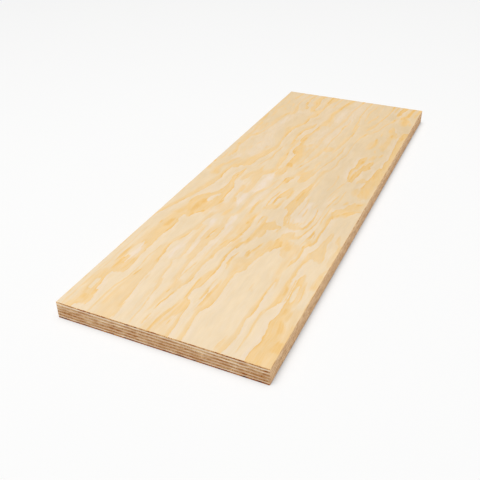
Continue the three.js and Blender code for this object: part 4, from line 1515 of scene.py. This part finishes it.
@dataclass
class Layer:
    """One veneer of the sheet, in millimetres.

    Attributes:
        node: Its CAD node.
        slot: The name of its material slot. It is not used.
        grain: Which way its grain runs.
        outline: The sheet's outline.
        glue: The glue lines it shares with its neighbours.
        stains: Its stains on the trimmed sides.
        lip: How far inside the outline a glue line has come back to its plane.
        recess: The most that the saw and the sandpaper have worn its edge back.
        wear: The waves in which the wear goes up and down, as shares of that.
        right_side_painted_falloff: Painted light falloff on the right side: how much darker its far end is
        painted, and how much paler its near end.
    """

    node: str
    slot: str
    grain: Grain
    outline: Outline
    glue: GluePlanes
    stains: Sequence[Stain] = ()
    lip: float = 0.5
    recess: float = 0.07
    wear: tuple[Wave, ...] = ((0.3, (6, 3)), (0.3, (2.2, 0.7)))
    right_side_painted_falloff: float = 0.15

    def plate(self, cells: tuple[int, int], inside: float) -> bmesh.types.BMesh:
        """Cuts a flat blank with rounded corners, at height zero.

        Args:
            cells: How many squares it is divided into, across and along.
            inside: How far its outline lies inside the sheet's.

        Returns:
            The blank.
        """
        bm = bmesh.new()
        bmesh.ops.create_grid(bm, x_segments=cells[0], y_segments=cells[1], size=0.5)
        size = (2 * (self.outline.half_width - inside), 2 * (self.outline.half_length - inside), 1.0)
        bmesh.ops.scale(bm, vec=size, verts=bm.verts)
        bmesh.ops.bevel(
            bm,
            geom=[vert for vert in bm.verts if len(vert.link_faces) == 1],
            offset=self.outline.corner - inside,
            segments=CORNER_FACETS,
            profile=0.5,
            affect="VERTICES",
            material=-1,
        )
        return bm

    def ring_out(self, bm: bmesh.types.BMesh, out: float, rise_by: float) -> list[bmesh.types.BMVert]:
        """Adds a ring of faces round the open border.

        Args:
            bm: The shape so far.
            out: How far the new ring lies outside the old one.
            rise_by: How far it lies above it.

        Returns:
            The new ring's vertices.
        """
        border = [edge for edge in bm.edges if edge.is_boundary]
        grown = bmesh.ops.extrude_edge_only(bm, edges=border)["geom"]
        ring = [item for item in grown if isinstance(item, bmesh.types.BMVert)]
        for vert in ring:
            vert.co += self.outline.outward(vert.co) * out + Vector((0.0, 0.0, rise_by))
        return ring

    def span(self) -> tuple[float, float]:
        """Its lowest and highest heights, in millimetres."""
        low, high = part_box(self.node)
        return low[2] / MM, high[2] / MM

    def seed(self) -> int:
        """A seed of its own, from its height in the stack."""
        return 100 + round(self.span()[0] * 10)

    def random_stains(self) -> list[Stain]:
        """Draws the stains of the sides on which none is placed.

        Returns:
            The stains, milder on the right side.
        """
        source = np.random.default_rng(self.seed())
        width, length = 2 * self.outline.half_width, 2 * self.outline.half_length
        stains = []
        sides = ((Side.FAR, width, 1.0), (Side.LEFT, length, 1.0), (Side.RIGHT, length, 0.7))
        for side, run, strength in sides:
            for _ in range(int(run / SPOT_SPACING)):
                at = source.uniform(0, run)
                reach = source.uniform(*SPOT_REACH)
                depth = source.uniform(*SPOT_DEPTH)
                stains.append(Stain(side, at, reach, depth * strength))
        return stains

    def stain_and_falloff_at(self, places: np.ndarray) -> np.ndarray:
        """Finds how stained its edge is, and adds the right side's painted light falloff.

        Args:
            places: Points on the trimmed sides, one row each.

        Returns:
            How much darker each is, or paler below zero.
        """
        halves = (self.outline.half_width, self.outline.half_length)
        total = np.full(len(places), LAYER_TONES.get(self.node, 0.0))
        # Painted light falloff: the right side is painted darker at its far end and paler at its near end.
        total += self.right_side_painted_falloff * places[:, 1] / halves[1] * (places[:, 0] > halves[0] - SIDE_DEPTH)
        for stain in (*self.stains, *self.random_stains()):
            out = stain.side.value
            axis = 0 if out[0] else 1
            on_side = places[:, axis] * out[axis] > halves[axis] - SIDE_DEPTH
            run = places[:, 1 - axis] + halves[1 - axis]
            total += on_side * stain.depth * np.exp(-(((run - stain.at) / stain.reach) ** 2))
        return total

    def worn(self, places: np.ndarray) -> np.ndarray:
        """Finds how far its trimmed edge is worn back.

        Args:
            places: Points on the trimmed sides, one row each.

        Returns:
            Each point's wear.
        """
        run, reach = self.outline.run(places)
        ripple = Ripple((reach, 20.0), np.random.default_rng(self.seed() + 1))
        return self.recess * np.clip(ripple.total(run, places[:, 2], self.wear, 0.5), 0.0, 1.0)


def finished_mesh(name: str, bm: bmesh.types.BMesh, fields: Mapping[str, np.ndarray]) -> Mesh:
    """Turns a bmesh in millimetres into a mesh in metres.

    Args:
        name: The mesh's name.
        bm: The shape, which is freed.
        fields: Values for each vertex, by name, for the material.

    Returns:
        The mesh, smooth except at its sharp corners.
    """
    bmesh.ops.recalc_face_normals(bm, faces=bm.faces)
    if bm.calc_volume(signed=True) < 0:
        bmesh.ops.reverse_faces(bm, faces=bm.faces)
    bmesh.ops.scale(bm, vec=(MM, MM, MM), verts=bm.verts)
    mesh = bpy.data.meshes.new(name)
    bm.to_mesh(mesh)
    bm.free()
    for field_name, values in fields.items():
        attribute = mesh.attributes.new(field_name, "FLOAT", "POINT")
        attribute.data.foreach_set("value", np.asarray(values, np.float32))
    mesh.shade_smooth()
    mesh.set_sharp_from_angle(angle=math.radians(SHARP_ANGLE))
    return mesh


def vertex_places(bm: bmesh.types.BMesh) -> np.ndarray:
    """Every vertex's coordinates, one row each."""
    bm.verts.ensure_lookup_table()
    return np.array([vert.co[:] for vert in bm.verts])


@dataclass
class InnerPly(Layer):
    """A veneer inside the stack, which shows only its sawn edge.

    Attributes:
        pitch: Distance between the vertices round its edge, across and along the sheet.
        rows: Heights of the rows of vertices up its edge, as shares of its thickness.
        finish: The look of its edge.
    """

    pitch: tuple[float, float] = (1.1, 2.0)
    rows: tuple[float, ...] = (0.0, 0.08, 0.5, 0.92, 1.0)
    finish: SawnEdge = LONG_EDGE

    def spans(self, edge: bmesh.types.BMEdge, axis: int) -> bool:
        """Whether an edge of the blank is one of its straight sides along an axis."""
        return abs(edge.verts[0].co[axis] - edge.verts[1].co[axis]) > self.outline.half_width

    def build(self) -> Object:
        """Builds the ply.

        Returns:
            The piece, dressed.
        """
        low, high = self.span()
        bm = self.plate((1, 1), self.lip)
        for axis, pitch in enumerate(self.pitch):
            straight = [edge for edge in bm.edges if self.spans(edge, axis)]
            cuts = round(straight[0].calc_length() / pitch)
            bmesh.ops.bisect_edges(bm, edges=straight, cuts=cuts)
        bmesh.ops.translate(bm, vec=(0, 0, low), verts=bm.verts)
        wall = set(self.ring_out(bm, self.lip, 0.0))
        for start, end in zip(self.rows, self.rows[1:]):
            wall.update(self.ring_out(bm, 0.0, (end - start) * (high - low)))
        self.ring_out(bm, -self.lip, 0.0)
        bmesh.ops.holes_fill(bm, edges=[edge for edge in bm.edges if edge.is_boundary], sides=0)
        places = vertex_places(bm)
        on_wall = np.array([vert in wall for vert in bm.verts])
        share = np.clip((places[:, 2] - low) / (high - low), 0, 1)
        floor, roof = self.glue.height(low, places), self.glue.height(high, places)
        heights = floor + (roof - floor) * share
        wear = self.worn(places)
        for vert, height, back, edge in zip(bm.verts, heights, wear, on_wall):
            if edge:
                vert.co -= self.outline.outward(vert.co) * back
                vert.co.z = height
        # The stain field also holds the right side's painted light falloff.
        fields = {
            "stain": self.stain_and_falloff_at(places) * on_wall,
            "seam": (np.minimum(share, 1 - share) < AT_GLUE).astype(float),
        }
        mesh = finished_mesh(self.node + "_look", bm, fields)
        mesh.materials.append(self.dress())
        return as_piece(self.node + "_look", self.node, mesh)

    def dress(self) -> Material:
        """Makes the ply's finish, or finds it if another ply with the same grain has made it.

        Returns:
            The material.
        """
        name = f"sawn pine plywood edge, grain {self.grain.name.lower()} the sheet"
        if name in bpy.data.materials:
            return bpy.data.materials[name]
        # Sawn pine is dull and a little furry. The eye sees brown, flecked end grain where the fibres are cut
        # across, pale threads where they run along the side, and a dark glue line between two plies.
        material, tree = new_tree(name)
        colour = self.finish.colour(tree, self.grain)
        place = add_node(tree, "TexCoord", output="Object")
        fuzz = patches(tree, place, self.finish.fuzz)
        surface(tree, colour, self.finish.roughness, fuzz, self.finish.fuzz_depth)
        return material


@dataclass
class OuterVeneer(Layer):
    """The face or the back veneer: a sanded show side with eased edges, and a sawn edge.

    Attributes:
        shows_up: Whether its show side is the top.
        cells: How many squares its show side is divided into, across and along.
        rings: How many facets its arris has.
        sanded_to: How far round the arris the sanded show side reaches, in degrees.
        rows: Heights of the rows of faces down its sawn edge, as shares of it.
        figure: The flames on its show side. Without any, its material draws plain growth rings.
        ridge: How far soft earlywood is sanded below hard latewood.
        finish: The look of its show side.
        edge_finish: The look of its sawn edge.
    """

    shows_up: bool = True
    cells: tuple[int, int] = (270, 290)
    rings: int = 4
    sanded_to: float = 30.0
    rows: tuple[float, ...] = (0.12, 0.4, 0.4, 0.08)
    figure: Figure | None = None
    ridge: float = 0.015
    finish: SandedPine = SandedPine()
    edge_finish: SawnEdge = FACE_EDGE

    def build(self) -> Object:
        """Builds the veneer.

        Returns:
            The piece, dressed.
        """
        low, high = self.span()
        arris = self.outline.arris
        bm = self.plate(self.cells, arris)
        show = set(bm.verts)
        turns = [math.pi / 2 * step / self.rings for step in range(self.rings + 1)]
        worn_round = set(show)
        for start, end in zip(turns, turns[1:]):
            out = arris * (math.sin(end) - math.sin(start))
            down = arris * (math.cos(start) - math.cos(end))
            ring = self.ring_out(bm, out, -down)
            if self.shows_up and end < math.radians(self.sanded_to):
                worn_round.update(ring)
        depth = high - low - arris
        wall = [self.ring_out(bm, 0.0, -depth * row) for row in self.rows]
        self.ring_out(bm, -self.lip, 0.0)
        bmesh.ops.holes_fill(bm, edges=[edge for edge in bm.edges if edge.is_boundary], sides=0)
        places = vertex_places(bm)
        wall_verts = {vert for ring in wall for vert in ring}
        on_wall = np.array([vert in wall_verts for vert in bm.verts])
        on_show = np.array([vert in show for vert in bm.verts])
        sanded = np.array([vert in worn_round for vert in bm.verts])
        glued, turned = (low, 1.0) if self.shows_up else (high, -1.0)
        # Heights so far run from 0 on the show side down.
        seam_drop = self.glue.height(glued, places) - glued
        share = np.clip((-places[:, 2] - arris) / depth, 0, 1)
        # The stain field also holds the right side's painted light falloff.
        fields = {
            "stain": self.stain_and_falloff_at(places) * on_wall,
            "seam": (on_wall & (share > 1 - AT_GLUE)).astype(float),
            "sanded": sanded.astype(float),
        }
        if self.figure:
            across, along = places[:, 0] + self.outline.half_width, places[:, 1] + self.outline.half_length
            fields |= self.figure.at(across, along)
            fields["swing"] = self.figure.swing(across, along)
        wear = self.worn(places)
        late = np.clip(fields["tone"], 0, 1) if self.figure else np.ones(len(places))
        for index, vert in enumerate(bm.verts):
            if on_wall[index]:
                vert.co -= self.outline.outward(vert.co) * wear[index] * share[index]
                vert.co.z += seam_drop[index] * turned * share[index]
            elif on_show[index]:
                vert.co.z -= self.ridge * (1 - late[index])
            vert.co.z = high + vert.co.z if self.shows_up else low - vert.co.z
        mesh = finished_mesh(self.node + "_look", bm, fields)
        mesh.materials.append(self.dress())
        return as_piece(self.node + "_look", self.node, mesh)

    def dress(self) -> Material:
        """Makes the veneer's finish.

        Returns:
            The material.
        """
        # Bare sanded pine is matt and silky. The eye sees warm gold flames that end in crisp lines on cream
        # wood, fine fibres that bend with them, and the browner sawn edge below the eased arris.
        material, tree = new_tree(f"sanded pine {self.node.replace('_', ' ')}")
        names = [{"attribute_name": name} for name in FIGURE_FIELDS]
        figure = [add_node(tree, "Attribute", name, output="Fac") for name in names]
        if not self.figure:
            figure[:3] = self.plain_rings(tree)
        face = self.finish.colour(tree, figure)
        sawn = self.edge_finish.colour(tree, self.grain)
        colour = self.finish.over_edge(tree, face, sawn)
        scratches = self.finish.streaks(tree, *self.finish.scratch, 2.0)
        surface(tree, colour, self.finish.roughness, scratches, self.finish.scratch_depth)
        return material

    def plain_rings(self, tree: ShaderNodeTree) -> tuple[NodeSocket, NodeSocket, NodeSocket]:
        """Draws growth rings as a peeling knife cuts them, by slicing a gently uneven log.

        Args:
            tree: The material's tree.

        Returns:
            The edge, tone and bleach values that the finish needs.
        """
        bumps = (70.0, 420.0)  # size of the log's uneven places across and along, in millimetres
        rings = 14.0  # from the log's lowest place to its highest
        ring_width = 14.0  # in millimetres
        white_until, late_from, sharp_end = 0.3, 0.35, 0.97  # shares of a ring
        strongest = 0.85  # the latewood's tone
        log = self.finish.streaks(tree, *bumps, 3.0)
        ring = add_node(tree, "Math", MULTIPLY, {0: log, 1: rings})
        ring = add_node(tree, "Math", {"operation": "FRACT"}, {0: ring})
        late = add_node(tree, "MapRange", EASED, {0: ring, 1: late_from, 2: 1.0})
        late = add_node(tree, "Math", MULTIPLY, {0: late, 1: strongest})
        edge = add_node(tree, "Math", SUBTRACT, {0: sharp_end, 1: ring})
        edge = add_node(tree, "Math", MULTIPLY, {0: edge, 1: ring_width})
        whiter = add_node(tree, "MapRange", inputs={0: ring, 1: white_until, 2: 0.0})
        return edge, late, whiter


@dataclass
class PlywoodSheet:
    """The whole sheet: eleven veneers, each turned a quarter turn to its neighbours.

    Attributes:
        outline: The trimmed outline.
        cross_plies: How many plies run across the sheet.
    """

    outline: Outline = Outline()
    cross_plies: int = 5

    def layers(self) -> list[Layer]:
        """Lists the layers.

        Returns:
            The layers, from the face down.
        """
        shared = {"outline": self.outline, "glue": GluePlanes(self.outline)}
        figure = Figure(FACE_FLAMES, 2 * self.outline.half_width, 2 * self.outline.half_length)

        def outer(name: str, **choices: object) -> OuterVeneer:
            """The face or the back veneer."""
            return OuterVeneer(name, name, Grain.ALONG, stains=STAINS[name], **choices, **shared)

        def inner(kind: str, number: int, grain: Grain, finish: SawnEdge) -> InnerPly:
            """A ply inside the stack."""
            name = f"{kind}_{number}"
            return InnerPly(name, kind, grain, stains=STAINS[name], finish=finish, **shared)

        stack: list[Layer] = [outer("face_veneer", figure=figure)]
        for number in range(1, self.cross_plies + 1):
            stack.append(inner("cross_ply", number, Grain.ACROSS, CROSS_EDGE))
            if number < self.cross_plies:
                stack.append(inner("long_ply", number, Grain.ALONG, LONG_EDGE))
        stack.append(outer("back_veneer", shows_up=False, cells=(110, 160), edge_finish=BACK_EDGE))
        return stack

    def build(self) -> list[Object]:
        """Builds every layer and reports it.

        Returns:
            The pieces, from the face down.
        """
        pieces = []
        for layer in self.layers():
            piece = layer.build()
            mesh = piece.data
            LOG.info("%s: %d vertices, %d faces", piece.name, len(mesh.vertices), len(mesh.polygons))
            pieces.append(piece)
        return pieces


# ---- Studio ----


@dataclass(frozen=True)
class Studio:
    """A pale floor, soft light and the camera.

    Attributes:
        floor_colour: The floor's colour.
        floor_size: The floor's side, in metres.
        glow_share: How much of the floor glows to the camera.
        painted_floor_falloff: Painted falloff of light on the floor: two distances from the sheet's middle in
        metres, and how bright the glow is at each.
        painted_shadow_depth: How dark the painted shadow in the glow gets beside the sheet.
        painted_shadow_fall: How quickly that painted shadow fades, as a power.
        painted_shadow_reach: How far from the sheet the glow is painted darker, in millimetres.
        painted_shadow_lean: The direction in which the sky is looked at, for that painted shadow.
        sky: Strength of the light from all round.
        backdrop: How bright the white beyond the floor looks to the camera.
        key_strength: Strength of the overhead softbox, in watts on a square metre.
        key_spread: How wide the softbox looks from the sheet, in degrees.
        key_lean: How far it leans to the left and to the front, as slopes.
        key_place: Where it hangs, in metres. Its light is the same from any height.
        lamp_power: Power of the smaller lamp at the front, in watts.
        lamp_place: Where that lamp hangs, in metres.
        lamp_size: Its side.
        eye: Where the camera is.
        look: The direction it looks in.
        up: Its upward direction.
        lens: Its focal length, in millimetres.
        sensor: How wide its sensor is, in millimetres.
    """

    floor_colour: str = "FCFCFB"
    floor_size: float = 8.0
    glow_share: float = 0.7
    painted_floor_falloff: tuple[float, float, float, float] = (0.3, 1.2, 0.976, 0.918)
    painted_shadow_depth: float = 3.1
    painted_shadow_fall: float = 3.0
    painted_shadow_reach: float = 10.0
    painted_shadow_lean: Point = (-0.18, -0.18, 0.97)
    sky: float = 0.28
    backdrop: float = 0.93
    key_strength: float = 1.93
    key_spread: float = 60.0
    key_lean: tuple[float, float] = (0.0, 0.03)
    key_place: Point = (0.0, 0.0, 2.0)
    lamp_power: float = 3.0
    lamp_place: Point = (-0.35, -0.9, 1.3)
    lamp_size: float = 0.8
    eye: Point = (0.240629, -0.648653, 0.379735)
    look: Point = (-0.353095, 0.763527, -0.540694)
    up: Point = (-0.220961, 0.493515, 0.841201)
    lens: float = 48.365
    sensor: float = 36.0

    def floor(self) -> Object:
        """Lays the floor.

        Returns:
            The floor.
        """
        bm = bmesh.new()
        bmesh.ops.create_grid(bm, x_segments=4, y_segments=4, size=self.floor_size / 2)
        mesh = bpy.data.meshes.new("floor")
        bm.to_mesh(mesh)
        bm.free()
        mesh.materials.append(self.paper())
        floor = bpy.data.objects.new("floor", mesh)
        bpy.context.scene.collection.objects.link(floor)
        return floor

    def paper(self) -> Material:
        """Makes the floor's white paper.

        Light falls on it as on any matt paper. To the camera, a share of it glows instead. The glow has a
        painted shadow beside the sheet, where the sheet hides the sky, and a painted falloff that makes it a
        little darker far away.

        Returns:
            The material.
        """
        # Matt white paper: even, neutral and unshiny, with a short soft shadow that is partly painted.
        material, tree = new_tree("matt white paper floor")
        matt = add_node(tree, "BsdfDiffuse", inputs={"Color": linear(self.floor_colour)})
        # Painted shadow: to the camera, the glow is dimmed where the sheet hides the sky close by.
        lean = add_node(tree, "CombineXYZ", inputs=dict(enumerate(self.painted_shadow_lean)))
        painted_shadow_probe = {"Distance": self.painted_shadow_reach * MM, "Normal": lean}
        open_sky = add_node(tree, "AmbientOcclusion", {"samples": 16}, painted_shadow_probe, output="AO")
        hidden = add_node(tree, "Math", SUBTRACT, {0: 1.0, 1: open_sky})
        hidden = add_node(tree, "Math", {"operation": "POWER"}, {0: hidden, 1: self.painted_shadow_fall})
        shade = add_node(tree, "Math", SCALE_ADD, {0: hidden, 1: -self.painted_shadow_depth, 2: 1.0})
        # Painted falloff: the glow is painted a little darker further from the sheet's middle.
        place = add_node(tree, "TexCoord", output="Object")
        distance = add_node(tree, "VectorMath", {"operation": "LENGTH"}, {0: place}, output="Value")
        painted_floor_falloff = add_node(tree, "MapRange", inputs=dict(enumerate((distance, *self.painted_floor_falloff))))
        strength = add_node(tree, "Math", MULTIPLY, {0: shade, 1: painted_floor_falloff})
        glow = add_node(tree, "Emission", inputs={"Color": (1.0, 1.0, 1.0, 1.0), "Strength": strength})
        seen = background_rays(tree)
        share = add_node(tree, "Math", MULTIPLY, {0: seen, 1: self.glow_share})
        paper = add_node(tree, "MixShader", inputs={0: share, 1: matt, 2: glow})
        add_node(tree, "OutputMaterial", inputs={"Surface": paper})
        return material

    def lights(self) -> None:
        """Sets the light from all round, and hangs the softbox and the front lamp."""
        world = bpy.data.worlds.new("soft studio")
        world.use_nodes = True
        tree = world.node_tree
        seen = background_rays(tree)
        strength = add_node(tree, "MapRange", inputs={0: seen, 3: self.sky, 4: self.backdrop})
        tree.nodes["Background"].inputs["Color"].default_value = (1.0, 1.0, 1.0, 1.0)
        tree.links.new(strength, tree.nodes["Background"].inputs["Strength"])
        bpy.context.scene.world = world
        softbox = bpy.data.lights.new("softbox", "SUN")
        softbox.energy = self.key_strength
        softbox.angle = math.radians(self.key_spread)
        self.hang(softbox, self.key_place, Vector((*self.key_lean, -1.0)))
        lamp = bpy.data.lights.new("front lamp", "AREA")
        lamp.energy = self.lamp_power
        lamp.size = self.lamp_size
        self.hang(lamp, self.lamp_place, -Vector(self.lamp_place))

    @staticmethod
    def hang(light: bpy.types.Light, place: Point, aim: Vector) -> None:
        """Hangs a light.

        Args:
            light: The light.
            place: Where it hangs, in metres.
            aim: The direction it shines in.
        """
        hung = bpy.data.objects.new(light.name, light)
        hung.location = place
        hung.rotation_euler = aim.to_track_quat("-Z", "Y").to_euler()
        bpy.context.scene.collection.objects.link(hung)

    def camera(self) -> None:
        """Sets up the camera."""
        lens = bpy.data.cameras.new("camera")
        lens.lens = self.lens
        lens.sensor_width = self.sensor
        eye = bpy.data.objects.new("camera", lens)
        back, up = -Vector(self.look), Vector(self.up)
        right = up.cross(back)
        turn = Matrix((right, up, back)).transposed()
        eye.matrix_world = Matrix.Translation(self.eye) @ turn.to_4x4()
        bpy.context.scene.collection.objects.link(eye)
        bpy.context.scene.camera = eye


def main() -> None:
    """Builds the sheet and the studio."""
    logging.basicConfig(level=logging.INFO, format="%(name)s: %(message)s")
    bpy.context.scene.view_settings.view_transform = "Standard"
    studio = Studio()
    studio.camera()
    studio.floor()
    studio.lights()
    PlywoodSheet().build()


if __name__ == "__main__":
    main()
